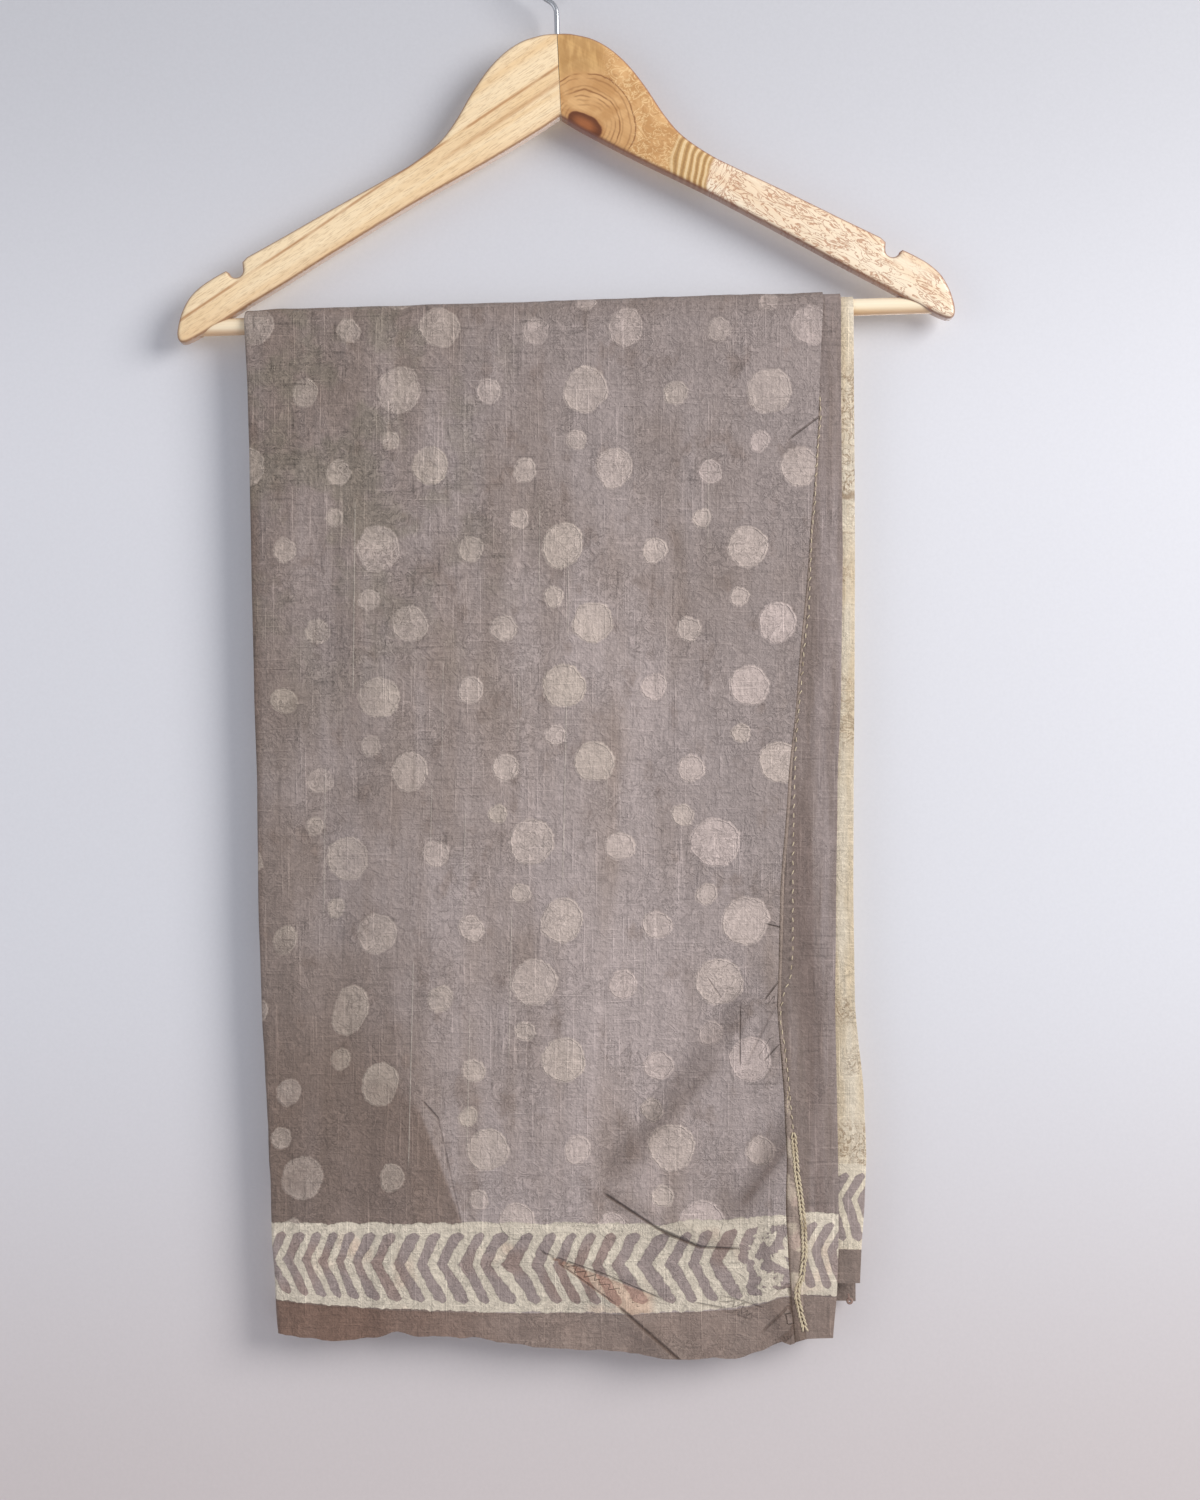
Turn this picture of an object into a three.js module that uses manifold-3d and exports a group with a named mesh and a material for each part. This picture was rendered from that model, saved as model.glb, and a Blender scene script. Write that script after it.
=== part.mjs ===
// A saree folded lengthwise and laid over the trouser bar of a flat wooden hanger.
// Millimetres, +Z up, the front towards -Y. The origin is the top of the inside of the hook,
// where a rail carries it. The hanger hangs a little tilted, and the cloth hangs straight down.
import * as THREE from "three";
import { mergeVertices } from "three/addons/utils/BufferGeometryUtils.js";
import Module from "manifold-3d";

const wasm = await Module();
wasm.setup();

// Hanger, in its own upright frame
const HANGER_TILT = THREE.MathUtils.degToRad(1.8); // the left tip hangs low
const ARM_THICK = 12;
const ARM_ROUNDING = 2.6;
const JOINT_GAP = 0.3;
const JOINT_SKEW = THREE.MathUtils.degToRad(0.9); // the glued joint leans against the hanger's tilt
const FIT = 0.3; // clear of a neighbour, all round
const OUTLINE_STEPS = 2; // between two stations of an outline

const BAR_DROP = 218.6; // from the origin down to the bar's axis
const BAR_RADIUS = 4.85;
const BAR_HALF = 212.4;

const WIRE_RADIUS = 1.5;
const HOOK_RADIUS = 19; // of the wire's centre line
const HOOK_BEND = 8;
const HOOK_STRAIGHT = 13; // upright wire above the wood
const HOOK_MOUTH = -35; // degrees below level, where the wire ends
const STEM_DEPTH = 25;
const WOOD_TOP = -57.8;

// Half of the hanger's outline, centre to notch: the height of both edges at each station
const ARM_STATIONS = [
  { x: 0, top: WOOD_TOP, bottom: -105.2 },
  { x: 5, top: -57.9, bottom: -108.4 },
  { x: 10, top: -58.6, bottom: -111.6 },
  { x: 20, top: -61.4, bottom: -117.4 },
  { x: 30, top: -67.3, bottom: -123.1 },
  { x: 40, top: -76.8, bottom: -128.6 },
  { x: 50, top: -90.3, bottom: -133.9 },
  { x: 60, top: -106.3, bottom: -139.1 },
  { x: 70, top: -118.3, bottom: -144.3 },
  { x: 85, top: -129.4, bottom: -152.3 },
  { x: 100, top: -137.6, bottom: -160.8 },
  { x: 130, top: -153.0, bottom: -178.0 },
  { x: 160, top: -168.9, bottom: -195.6 },
  { x: 181, top: -179.8, bottom: -207.4 },
];
const NOTCH = { x: 187.6, z: -187.2, radius: 4.1 };
const NOTCH_CORNER = { x: 183.8, z: -182.6 };
const NOTCH_PEAK = { x: 193.3, z: -187.3 };
// Round the tip, from the notch's outer peak to the lower edge
const TIP_STATIONS = [
  { x: 201.0, z: -191.3 },
  { x: 208.6, z: -196.2 },
  { x: 214.6, z: -202.0 },
  { x: 218.6, z: -208.8 },
  { x: 221.0, z: -215.6 },
  { x: 222.2, z: -222.4 },
  { x: 221.2, z: -226.3 },
  { x: 218.6, z: -227.4 },
  { x: 214.6, z: -226.2 },
  { x: 207.0, z: -222.4 },
  { x: 196.0, z: -216.2 },
];

// Cloth levels, as heights of a layer's middle above the surface that lies next to the bar
const WALL = 1.0;
const LEVEL_STEP = WALL + FIT;
const INNER_LEVEL = WALL / 2;
const MIDDLE_LEVEL = INNER_LEVEL + LEVEL_STEP;
const OUTER_LEVEL = MIDDLE_LEVEL + LEVEL_STEP;
const BAR_WRAP = BAR_RADIUS + FIT; // the cloth's innermost radius over the bar
const HANG_IN = 0.8; // how far each half leans in below the bar
const STRIP_SWELL = 0.7; // the stacked folds stand thicker where nothing lies on them

// Side edges of the front half by height: the left fold, the outer layer's right edge, the width of
// the stitched hem beside it, the right edge of the inner folds, and of the cream end layer
const FRONT_EDGES = [
  { z: -212, fold: -176.8, outer: 153.4, hem: 0.9, strip: 163.4, end: 170.7 },
  { z: -260, fold: -174.6, outer: 151.4, hem: 1.0, strip: 163.4, end: 170.9 },
  { z: -300, fold: -173.6, outer: 149.6, hem: 1.3, strip: 163.7, end: 171.3 },
  { z: -358, fold: -172.6, outer: 145.2, hem: 1.5, strip: 164.4, end: 171.6 },
  { z: -438, fold: -170.9, outer: 138.4, hem: 1.6, strip: 163.6, end: 171.4 },
  { z: -488, fold: -169.2, outer: 133.4, hem: 1.8, strip: 161.6, end: 170.9 },
  { z: -553, fold: -168.6, outer: 128.8, hem: 1.9, strip: 160.8, end: 170.7 },
  { z: -617, fold: -166.6, outer: 127.0, hem: 2.2, strip: 160.2, end: 171.6 },
  { z: -670, fold: -163.6, outer: 131.0, hem: 3.3, strip: 161.2, end: 176.8 },
  { z: -704, fold: -162.0, outer: 132.4, hem: 5.6, strip: 161.8, end: 178.1 },
  { z: -730, fold: -161.0, outer: 131.8, hem: 9.2, strip: 162.0, end: 177.2 },
  { z: -756, fold: -160.2, outer: 133.2, hem: 9.0, strip: 162.0, end: 175.4 },
  { z: -780, fold: -158.6, outer: 134.8, hem: 5.4, strip: 161.2, end: 174.4 },
  { z: -812, fold: -156.4, outer: 137.4, hem: 6.6, strip: 158.6, end: 173.0 },
];
const BACK_EDGES = [
  { z: -212, fold: -176.8, outer: 153.4, hem: 0.9, strip: 163.4, end: 170.7 },
  { z: -300, fold: -174.2, outer: 152.0, hem: 1.0, strip: 162.6, end: 170.2 },
  { z: -420, fold: -171.4, outer: 149.2, hem: 1.2, strip: 161.4, end: 169.6 },
  { z: -540, fold: -169.0, outer: 146.6, hem: 1.2, strip: 160.2, end: 170.4 },
  { z: -660, fold: -165.2, outer: 147.8, hem: 1.2, strip: 160.8, end: 172.2 },
  { z: -760, fold: -161.4, outer: 149.4, hem: 1.2, strip: 161.4, end: 173.0 },
  { z: -812, fold: -158.6, outer: 150.0, hem: 1.2, strip: 160.6, end: 173.2 },
];

// Lower edge of the outer layer, front and back
const LOWER_EDGE = [
  { x: -180, front: -798.6, back: -799.4 },
  { x: -157, front: -799.8, back: -800.6 },
  { x: -125, front: -803.6, back: -801.8 },
  { x: -104, front: -802.0, back: -800.6 },
  { x: -88, front: -797.6, back: -799.2 },
  { x: -78, front: -800.8, back: -798.8 },
  { x: -46, front: -801.4, back: -799.6 },
  { x: -30, front: -804.2, back: -800.4 },
  { x: 2, front: -807.6, back: -801.0 },
  { x: 36, front: -810.2, back: -802.6 },
  { x: 70, front: -813.6, back: -803.0 },
  { x: 104, front: -813.4, back: -802.2 },
  { x: 118, front: -809.2, back: -801.2 },
  { x: 128, front: -803.0, back: -800.4 },
  { x: 135, front: -805.6, back: -800.0 },
  { x: 141, front: -802.6, back: -800.0 },
  { x: 185, front: -802.6, back: -800.0 },
];
const END_LAYER_SHORT = { front: 31, back: 16 }; // the cream layer ends this far above the others

// Soft ridges (+) and troughs (-): middle, length, half width, height and lean from upright
const FRONT_FOLDS = [
  { x: 72, z: -660, length: 120, width: 15, height: -1.8, lean: 38 },
  { x: 96, z: -668, length: 110, width: 16, height: 1.5, lean: 36 },
  { x: 33, z: -784, length: 90, width: 11, height: 2.2, lean: -52 },
  { x: 24, z: -800, length: 80, width: 12, height: -1.6, lean: -52 },
  { x: -148, z: -560, length: 420, width: 14, height: 1.3, lean: -2 },
  { x: -120, z: -640, length: 330, width: 16, height: -1.2, lean: -4 },
  { x: -84, z: -700, length: 240, width: 18, height: 1.8, lean: 6 },
  { x: -36, z: -600, length: 380, width: 20, height: -1.3, lean: -3 },
  { x: 8, z: -540, length: 330, width: 22, height: 1.3, lean: 4 },
  { x: 50, z: -470, length: 330, width: 18, height: -1.1, lean: 2 },
  { x: 98, z: -480, length: 360, width: 20, height: 1.4, lean: -3 },
  { x: 134, z: -720, length: 170, width: 12, height: 1.8, lean: 3 },
  { x: 152, z: -560, length: 330, width: 12, height: -1.0, lean: 0 },
];
const BACK_FOLDS = [
  { x: -140, z: -600, length: 400, width: 16, height: 1.5, lean: 3 },
  { x: -98, z: -540, length: 360, width: 18, height: -1.3, lean: -4 },
  { x: -52, z: -640, length: 380, width: 20, height: 1.7, lean: 5 },
  { x: -4, z: -560, length: 330, width: 20, height: -1.4, lean: -2 },
  { x: 44, z: -660, length: 300, width: 18, height: 1.6, lean: -8 },
  { x: 90, z: -500, length: 380, width: 20, height: -1.2, lean: 3 },
  { x: 128, z: -640, length: 330, width: 16, height: 1.6, lean: 2 },
  { x: -76, z: -730, length: 110, width: 14, height: -1.6, lean: 40 },
];

// Grid of the cloth: columns between the fold and the outer edge, rows down each half and over the bar
const COLUMNS = 17;
const FOLD_STEPS = 4;
const RETURN_COLUMNS = 10; // the outer layer comes back inside this far
const HANG_ROWS = { front: 22, back: 14 };
const BAR_ROWS = 8;
const SMOOTH_BELOW_BAR = 70; // the folds grow from nothing over this height

const BAR_HEIGHT = -BAR_DROP / Math.cos(HANGER_TILT);

function material(color, roughness, metalness = 0) {
  return new THREE.MeshStandardMaterial({ color, roughness, metalness });
}

const MATERIALS = {
  print: material(0x8f817a, 0.75),
  folds: material(0x7f706b, 0.75),
  end: material(0xd6c8b0, 0.75),
  hem: material(0xa8957f, 0.8),
  wood: material(0xe4bf8c, 0.45),
  bar: material(0xefe3cc, 0.5),
  steel: material(0xa9abad, 0.3, 1),
};

// Value of one column of a table at a place, between its rows
function lookUp(table, key, at, column) {
  const rising = table[table.length - 1][key] > table[0][key];
  const rows = rising ? table : [...table].reverse();
  if (at <= rows[0][key]) return rows[0][column];
  for (let i = 1; i < rows.length; i++) {
    if (at > rows[i][key]) continue;
    const t = (at - rows[i - 1][key]) / (rows[i][key] - rows[i - 1][key]);
    const ease = t * t * (3 - 2 * t) * 0.35 + t * 0.65;
    return THREE.MathUtils.lerp(rows[i - 1][column], rows[i][column], ease);
  }
  return rows[rows.length - 1][column];
}

function barHeight(x) {
  return BAR_HEIGHT + x * Math.tan(HANGER_TILT);
}

// How far the folds push the cloth out at a place on one half
function foldHeight(folds, x, z) {
  let sum = 0;
  for (const f of folds) {
    const lean = THREE.MathUtils.degToRad(f.lean);
    const along = (z - f.z) * Math.cos(lean) + (x - f.x) * Math.sin(lean);
    const across = (x - f.x) * Math.cos(lean) - (z - f.z) * Math.sin(lean);
    sum += f.height * Math.exp(-((across / f.width) ** 2) - (2 * along / f.length) ** 2);
  }
  const below = THREE.MathUtils.clamp((barHeight(x) - z) / SMOOTH_BELOW_BAR, 0, 1);
  return sum * below * below * (3 - 2 * below);
}

// The rows, front hem to back hem: where each lies on its half, or its angle over the bar
function drapeRows() {
  const rows = [];
  const half = (side, short) => {
    const list = [{ side, share: 0, lift: 0 }, { side, share: 0, lift: short }];
    for (let i = 1; i <= HANG_ROWS[side]; i++) {
      const share = i / HANG_ROWS[side];
      list.push({ side, share, lift: short * (1 - share) });
    }
    return list;
  };
  rows.push(...half("front", END_LAYER_SHORT.front));
  for (let i = 1; i < BAR_ROWS; i++) {
    rows.push({ side: "bar", angle: Math.PI * (1 - i / BAR_ROWS) });
  }
  rows.push(...half("back", END_LAYER_SHORT.back).reverse());
  return rows;
}

const ROWS = drapeRows();
const LAST_ROW = ROWS.length - 1;

// Height of a row at a place across the cloth
function rowHeight(row, x) {
  const low = lookUp(LOWER_EDGE, "x", x, row.side) + row.lift;
  return THREE.MathUtils.lerp(low, barHeight(x), row.share);
}

// A row's side edges
function rowEdges(row) {
  const table = row.side === "back" ? BACK_EDGES : FRONT_EDGES;
  const z = row.side === "bar" ? table[0].z : rowHeight(row, 0);
  const at = (column) => lookUp(table, "z", z, column);
  const outer = at("outer");
  return { fold: at("fold"), outer, hem: outer + at("hem"), strip: at("strip"), end: at("end") };
}

// A point of the draped cloth: across it, above the bar's surface, and along the drape
function drape(x, level, row) {
  if (row.side === "bar") {
    const reach = BAR_WRAP + level;
    return [x, reach * Math.cos(row.angle), barHeight(x) + reach * Math.sin(row.angle)];
  }
  const z = rowHeight(row, x);
  const front = row.side === "front";
  const share = THREE.MathUtils.clamp((barHeight(x) - z) / BAR_DROP, 0, 1);
  const lean = HANG_IN * share * share * (3 - 2 * share);
  const out = BAR_WRAP - lean + level + foldHeight(front ? FRONT_FOLDS : BACK_FOLDS, x, z);
  return [x, front ? -out : out, z];
}

// A closed wall of cloth. stations(row) gives, across the wall, its middle and the way it faces.
function clothWall(stations, firstRow, lastRow, swell = () => 0) {
  const positions = [];
  const index = [];
  const across = stations(ROWS[firstRow]).length;
  const rows = lastRow - firstRow + 1;
  for (let r = 0; r < rows; r++) {
    const row = ROWS[firstRow + r];
    stations(row).forEach((s, k) => {
      const half = WALL / 2;
      const outside = half + swell(k);
      positions.push(...drape(s.x + s.nx * outside, s.level + s.nl * outside, row));
      positions.push(...drape(s.x - s.nx * half, s.level - s.nl * half, row));
    });
  }
  const at = (r, k, side) => 2 * (r * across + k) + side;
  const quad = (a, b, c, d) => index.push(a, b, c, a, c, d);
  const otherQuad = (a, b, c, d) => index.push(a, b, d, b, c, d);
  const last = across - 1;
  for (let r = 0; r < rows - 1; r++) {
    const xs = stations(ROWS[firstRow + r]).map((s) => s.x);
    for (let k = 0; k < last; k++) {
      // The same way across for every layer, so that their faces stay parallel
      const face = xs[k + 1] > xs[k] ? quad : otherQuad;
      const mirrored = xs[k + 1] > xs[k] ? otherQuad : quad;
      face(at(r, k, 0), at(r, k + 1, 0), at(r + 1, k + 1, 0), at(r + 1, k, 0));
      mirrored(at(r, k + 1, 1), at(r, k, 1), at(r + 1, k, 1), at(r + 1, k + 1, 1));
    }
    quad(at(r, 0, 1), at(r, 0, 0), at(r + 1, 0, 0), at(r + 1, 0, 1));
    quad(at(r, last, 0), at(r, last, 1), at(r + 1, last, 1), at(r + 1, last, 0));
  }
  for (let k = 0; k < last; k++) {
    const end = rows - 1;
    quad(at(0, k, 1), at(0, k + 1, 1), at(0, k + 1, 0), at(0, k, 0));
    quad(at(end, k, 0), at(end, k + 1, 0), at(end, k + 1, 1), at(end, k, 1));
  }
  const geometry = new THREE.BufferGeometry();
  geometry.setAttribute("position", new THREE.Float32BufferAttribute(positions, 3));
  geometry.setIndex(index);
  geometry.computeVertexNormals();
  return geometry;
}

// The middle of the fold's turn, which all layers share as their first column
function foldCentre(edges) {
  return edges.fold + WALL / 2 + LEVEL_STEP;
}

function columnAt(edges, k) {
  return THREE.MathUtils.lerp(foldCentre(edges), edges.outer, k / COLUMNS);
}

// Outer layer: back under the others, round the left fold and out over the front
function outerStations(row) {
  const edges = rowEdges(row);
  const list = [];
  for (let k = RETURN_COLUMNS; k > 0; k--) {
    list.push({ x: columnAt(edges, k), level: INNER_LEVEL, nx: 0, nl: -1 });
  }
  for (let i = 0; i <= FOLD_STEPS; i++) {
    const turn = -Math.PI / 2 - (Math.PI * i) / FOLD_STEPS;
    const nx = Math.cos(turn);
    const nl = Math.sin(turn);
    list.push({ x: foldCentre(edges) + nx * LEVEL_STEP, level: MIDDLE_LEVEL + nl * LEVEL_STEP, nx, nl });
  }
  for (let k = 1; k <= COLUMNS; k++) {
    list.push({ x: columnAt(edges, k), level: OUTER_LEVEL, nx: 0, nl: 1 });
  }
  return list;
}

// Inner folds: from inside the left fold to the plain strip at the right
function innerStations(row) {
  const edges = rowEdges(row);
  const list = [];
  for (let k = 0; k <= COLUMNS; k++) {
    list.push({ x: columnAt(edges, k), level: MIDDLE_LEVEL, nx: 0, nl: 1 });
  }
  const middle = (edges.hem + edges.strip) / 2;
  for (const x of [edges.hem, middle, edges.strip]) {
    list.push({ x, level: MIDDLE_LEVEL, nx: 0, nl: 1 });
  }
  return list;
}

// Cream end layer: next to the bar, from the outer layer's inside edge to the far right
function endStations(row) {
  const edges = rowEdges(row);
  const list = [{ x: columnAt(edges, RETURN_COLUMNS) + FIT, level: INNER_LEVEL, nx: 0, nl: 1 }];
  for (let k = RETURN_COLUMNS + 1; k <= COLUMNS; k++) {
    list.push({ x: columnAt(edges, k), level: INNER_LEVEL, nx: 0, nl: 1 });
  }
  const middle = (edges.hem + edges.strip) / 2;
  for (const x of [edges.hem, middle, edges.strip, edges.end]) {
    list.push({ x, level: INNER_LEVEL, nx: 0, nl: 1 });
  }
  return list;
}

// Stitched hem: a narrow strip on the outer level, beside the outer layer's edge
function hemStations(row) {
  const edges = rowEdges(row);
  return [edges.outer + FIT, edges.hem].map((x) => ({ x, level: OUTER_LEVEL, nx: 0, nl: 1 }));
}

// Half of the bow's outline, from the top of the centre to its bottom
function halfOutline() {
  const path = new THREE.Path();
  const last = ARM_STATIONS[ARM_STATIONS.length - 1];
  path.moveTo(0, WOOD_TOP);
  path.splineThru(ARM_STATIONS.slice(1).map((s) => new THREE.Vector2(s.x, s.top)));
  path.lineTo(NOTCH_CORNER.x, NOTCH_CORNER.z);
  path.absarc(NOTCH.x, NOTCH.z, NOTCH.radius, Math.PI, 1.9 * Math.PI, false);
  path.lineTo(NOTCH_PEAK.x, NOTCH_PEAK.z);
  path.splineThru(TIP_STATIONS.map((s) => new THREE.Vector2(s.x, s.z)));
  path.lineTo(last.x, last.bottom);
  path.splineThru([...ARM_STATIONS].reverse().slice(1).map((s) => new THREE.Vector2(s.x, s.bottom)));
  return path.getPoints(OUTLINE_STEPS);
}

function solid(geometry) {
  const plain = geometry.index ? geometry.toNonIndexed() : geometry.clone();
  plain.deleteAttribute("normal");
  plain.deleteAttribute("uv");
  const merged = mergeVertices(plain, 1e-4);
  return new wasm.Manifold(new wasm.Mesh({
    numProp: 3,
    vertProperties: merged.attributes.position.array,
    triVerts: new Uint32Array(merged.index.array),
  }));
}

function fromSolid(body) {
  const mesh = body.getMesh();
  const geometry = new THREE.BufferGeometry();
  geometry.setAttribute("position", new THREE.BufferAttribute(mesh.vertProperties, 3));
  geometry.setIndex(new THREE.BufferAttribute(mesh.triVerts, 1));
  geometry.computeVertexNormals();
  return geometry;
}

// Both arms as one bow with rounded edges
function bow() {
  const right = halfOutline();
  const left = right.slice(1, -1).map((p) => new THREE.Vector2(-p.x, p.y)).reverse();
  const geometry = new THREE.ExtrudeGeometry(new THREE.Shape([...right, ...left]), {
    depth: ARM_THICK - 2 * ARM_ROUNDING,
    steps: 1,
    bevelEnabled: true,
    bevelThickness: ARM_ROUNDING,
    bevelSize: ARM_ROUNDING,
    bevelOffset: -ARM_ROUNDING,
    bevelSegments: 2,
  });
  geometry.translate(0, 0, ARM_ROUNDING - ARM_THICK / 2);
  return geometry.rotateX(Math.PI / 2);
}

// One arm: its side of the bow, bored for the hook's stem and the bar's end
function armGeometry(side) {
  const room = 600;
  const halfSpace = new THREE.BoxGeometry(room, room, room);
  halfSpace.translate(side * (room / 2 + JOINT_GAP / 2), 0, 0);
  halfSpace.rotateY(-JOINT_SKEW).translate(0, 0, WOOD_TOP);
  const stem = new THREE.CylinderGeometry(WIRE_RADIUS + FIT, WIRE_RADIUS + FIT, 2 * STEM_DEPTH, 16);
  stem.rotateX(Math.PI / 2).translate(0, 0, WOOD_TOP - FIT);
  const bore = new THREE.CylinderGeometry(BAR_RADIUS + FIT, BAR_RADIUS + FIT, 2 * (BAR_HALF + FIT), 24);
  bore.rotateZ(Math.PI / 2).translate(0, 0, -BAR_DROP);
  const arm = solid(bow()).intersect(solid(halfSpace)).subtract(solid(stem)).subtract(solid(bore));
  return fromSolid(arm);
}

function barGeometry() {
  const geometry = new THREE.CylinderGeometry(BAR_RADIUS, BAR_RADIUS, 2 * BAR_HALF, 20);
  return geometry.rotateZ(Math.PI / 2).translate(0, 0, -BAR_DROP);
}

// The hook's centre line: up out of the wood, a bend to the left, and round over the rail
function hookPath() {
  const centre = -(HOOK_RADIUS - WIRE_RADIUS);
  const bendStart = WOOD_TOP + HOOK_STRAIGHT;
  const rise = centre - bendStart;
  const turn = Math.asin((HOOK_RADIUS + HOOK_BEND) / Math.hypot(rise, HOOK_BEND)) - Math.atan2(HOOK_BEND, rise);
  const points = [];
  for (let z = WOOD_TOP - STEM_DEPTH; z < bendStart - 1; z += 6) {
    points.push(new THREE.Vector3(0, 0, z));
  }
  for (let i = 0; i <= 6; i++) {
    const a = (turn * i) / 6;
    points.push(new THREE.Vector3(HOOK_BEND * (Math.cos(a) - 1), 0, bendStart + HOOK_BEND * Math.sin(a)));
  }
  const first = Math.PI + turn;
  const last = THREE.MathUtils.degToRad(HOOK_MOUTH);
  for (let i = 0; i <= 24; i++) {
    const a = THREE.MathUtils.lerp(first, last, i / 24);
    points.push(new THREE.Vector3(HOOK_RADIUS * Math.cos(a), 0, centre + HOOK_RADIUS * Math.sin(a)));
  }
  return new THREE.CatmullRomCurve3(points, false, "centripetal");
}

function hookGeometry() {
  const section = new THREE.Shape().absarc(0, 0, WIRE_RADIUS, 0, 2 * Math.PI, false);
  return new THREE.ExtrudeGeometry(section, {
    steps: 48,
    curveSegments: 5,
    bevelEnabled: false,
    extrudePath: hookPath(),
  });
}

function named(name, geometry, look) {
  const mesh = new THREE.Mesh(geometry, look);
  mesh.name = name;
  return mesh;
}

function makeHanger() {
  const hanger = new THREE.Group();
  hanger.add(named("hanger_arm_left", armGeometry(-1), MATERIALS.wood));
  hanger.add(named("hanger_arm_right", armGeometry(1), MATERIALS.wood));
  hanger.add(named("hanger_bar", barGeometry(), MATERIALS.bar));
  hanger.add(named("hanger_hook", hookGeometry(), MATERIALS.steel));
  hanger.rotation.y = -HANGER_TILT;
  return hanger;
}

function makeSaree() {
  const saree = new THREE.Group();
  const hemTop = HANG_ROWS.front - 2;
  const swell = (k) => (k > COLUMNS + 1 ? STRIP_SWELL : 0);
  saree.add(named("saree_outer", clothWall(outerStations, 0, LAST_ROW), MATERIALS.print));
  saree.add(named("saree_inner_folds", clothWall(innerStations, 0, LAST_ROW, swell), MATERIALS.folds));
  saree.add(named("saree_pallu", clothWall(endStations, 1, LAST_ROW - 1), MATERIALS.end));
  saree.add(named("saree_end_hem", clothWall(hemStations, 0, hemTop), MATERIALS.hem));
  return saree;
}

const part = new THREE.Group();
part.add(makeHanger(), makeSaree());

export default part;
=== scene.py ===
import math
from functools import partial

import bmesh
import bpy
import numpy as np
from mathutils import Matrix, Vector


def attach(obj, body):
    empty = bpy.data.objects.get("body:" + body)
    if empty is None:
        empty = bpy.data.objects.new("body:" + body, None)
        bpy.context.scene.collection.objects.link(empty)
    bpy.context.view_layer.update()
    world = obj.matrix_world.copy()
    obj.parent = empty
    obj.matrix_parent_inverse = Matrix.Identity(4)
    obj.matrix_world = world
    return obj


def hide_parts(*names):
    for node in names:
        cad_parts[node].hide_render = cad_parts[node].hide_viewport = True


# A saree folded lengthwise and laid over the trouser bar of a flat wooden hanger.
# The tables are in millimetres and meshes in metres: +Z up, the front towards -Y, and the
# origin at the top of the inside of the hook. Levels are heights above the cloth that lies
# next to the bar, and a place on the cloth is "across" it and "along" the drape.

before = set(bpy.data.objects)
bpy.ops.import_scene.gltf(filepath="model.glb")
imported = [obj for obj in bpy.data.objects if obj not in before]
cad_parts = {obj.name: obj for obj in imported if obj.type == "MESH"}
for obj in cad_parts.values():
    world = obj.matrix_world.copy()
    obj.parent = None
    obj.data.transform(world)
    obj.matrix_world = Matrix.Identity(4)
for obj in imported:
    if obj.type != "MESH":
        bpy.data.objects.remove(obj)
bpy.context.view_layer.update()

MM = 0.001


def table(columns, *rows):
    """A short table: the names of its columns, then its rows."""
    values = np.array(rows, float)
    return {name: values[:, i] for i, name in enumerate(columns.split())}


def rows_of(a_table):
    """The rows of a table, one dictionary each."""
    count = len(next(iter(a_table.values())))
    return [{name: column[i] for name, column in a_table.items()} for i in range(count)]


# Hanger, in its own upright frame
HANGER_TILT = math.radians(1.8)
ARM_THICK = 12
ARM_ROUNDING = 2.6
JOINT_GAP = 0.3
JOINT_SKEW = math.radians(0.9)
BAR_DROP = 218.6
BAR_RADIUS = 4.85
BAR_HALF = 212.4
FIT = 0.3
WIRE_RADIUS = 1.5
HOOK_RADIUS = 19
HOOK_BEND = 8
HOOK_STRAIGHT = 13
HOOK_MOUTH = math.radians(-35)
STEM_DEPTH = 25
WOOD_TOP = -57.8
# How many sides or steps the hanger's round parts have
STEPS = {
    "outline": 5, "notch": 14, "edge": 6, "stem": 24, "bore": 40, "bar": 48,
    "wire": 16, "straight": 8, "bend": 10, "hook": 60,
}

ARM_EDGES = table(
    "x top bottom",
    (5, -57.9, -108.4), (10, -58.6, -111.6), (20, -61.4, -117.4), (30, -67.3, -123.1),
    (40, -76.8, -128.6), (50, -90.3, -133.9), (60, -106.3, -139.1), (70, -118.3, -144.3),
    (85, -129.4, -152.3), (100, -137.6, -160.8), (130, -153.0, -178.0), (160, -168.9, -195.6),
    (181, -179.8, -207.4),
)
ARM_BOTTOM = -105.2
NOTCH = {"x": 187.6, "z": -187.2, "radius": 4.1, "from": math.pi, "to": 1.9 * math.pi}
NOTCH_CORNER = (183.8, -182.6)
NOTCH_PEAK = (193.3, -187.3)
TIP = table(
    "x z",
    (201.0, -191.3), (208.6, -196.2), (214.6, -202.0), (218.6, -208.8), (221.0, -215.6),
    (222.2, -222.4), (221.2, -226.3), (218.6, -227.4), (214.6, -226.2), (207.0, -222.4),
    (196.0, -216.2),
)

# Side edges of each half by height, the lower edge across it, and how it leans in
FRONT_EDGES = table(
    "z fold outer hem strip end",
    (-212, -176.8, 153.4, 0.9, 163.4, 170.7),
    (-260, -174.6, 151.4, 1.0, 163.4, 170.9),
    (-300, -173.6, 149.6, 1.3, 163.7, 171.3),
    (-358, -172.6, 145.2, 1.5, 164.4, 171.6),
    (-438, -170.9, 138.4, 1.6, 163.6, 171.4),
    (-488, -169.2, 133.4, 1.8, 161.6, 170.9),
    (-553, -168.6, 128.8, 1.9, 160.8, 170.7),
    (-617, -166.6, 127.0, 2.2, 160.2, 171.6),
    (-670, -163.6, 131.0, 3.3, 161.2, 176.8),
    (-704, -162.0, 132.4, 5.6, 161.8, 178.1),
    (-730, -161.0, 131.8, 9.2, 162.0, 177.2),
    (-756, -160.2, 133.2, 9.0, 162.0, 175.4),
    (-780, -158.6, 134.8, 5.4, 161.2, 174.4),
    (-812, -156.4, 137.4, 6.6, 158.6, 173.0),
)
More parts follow.
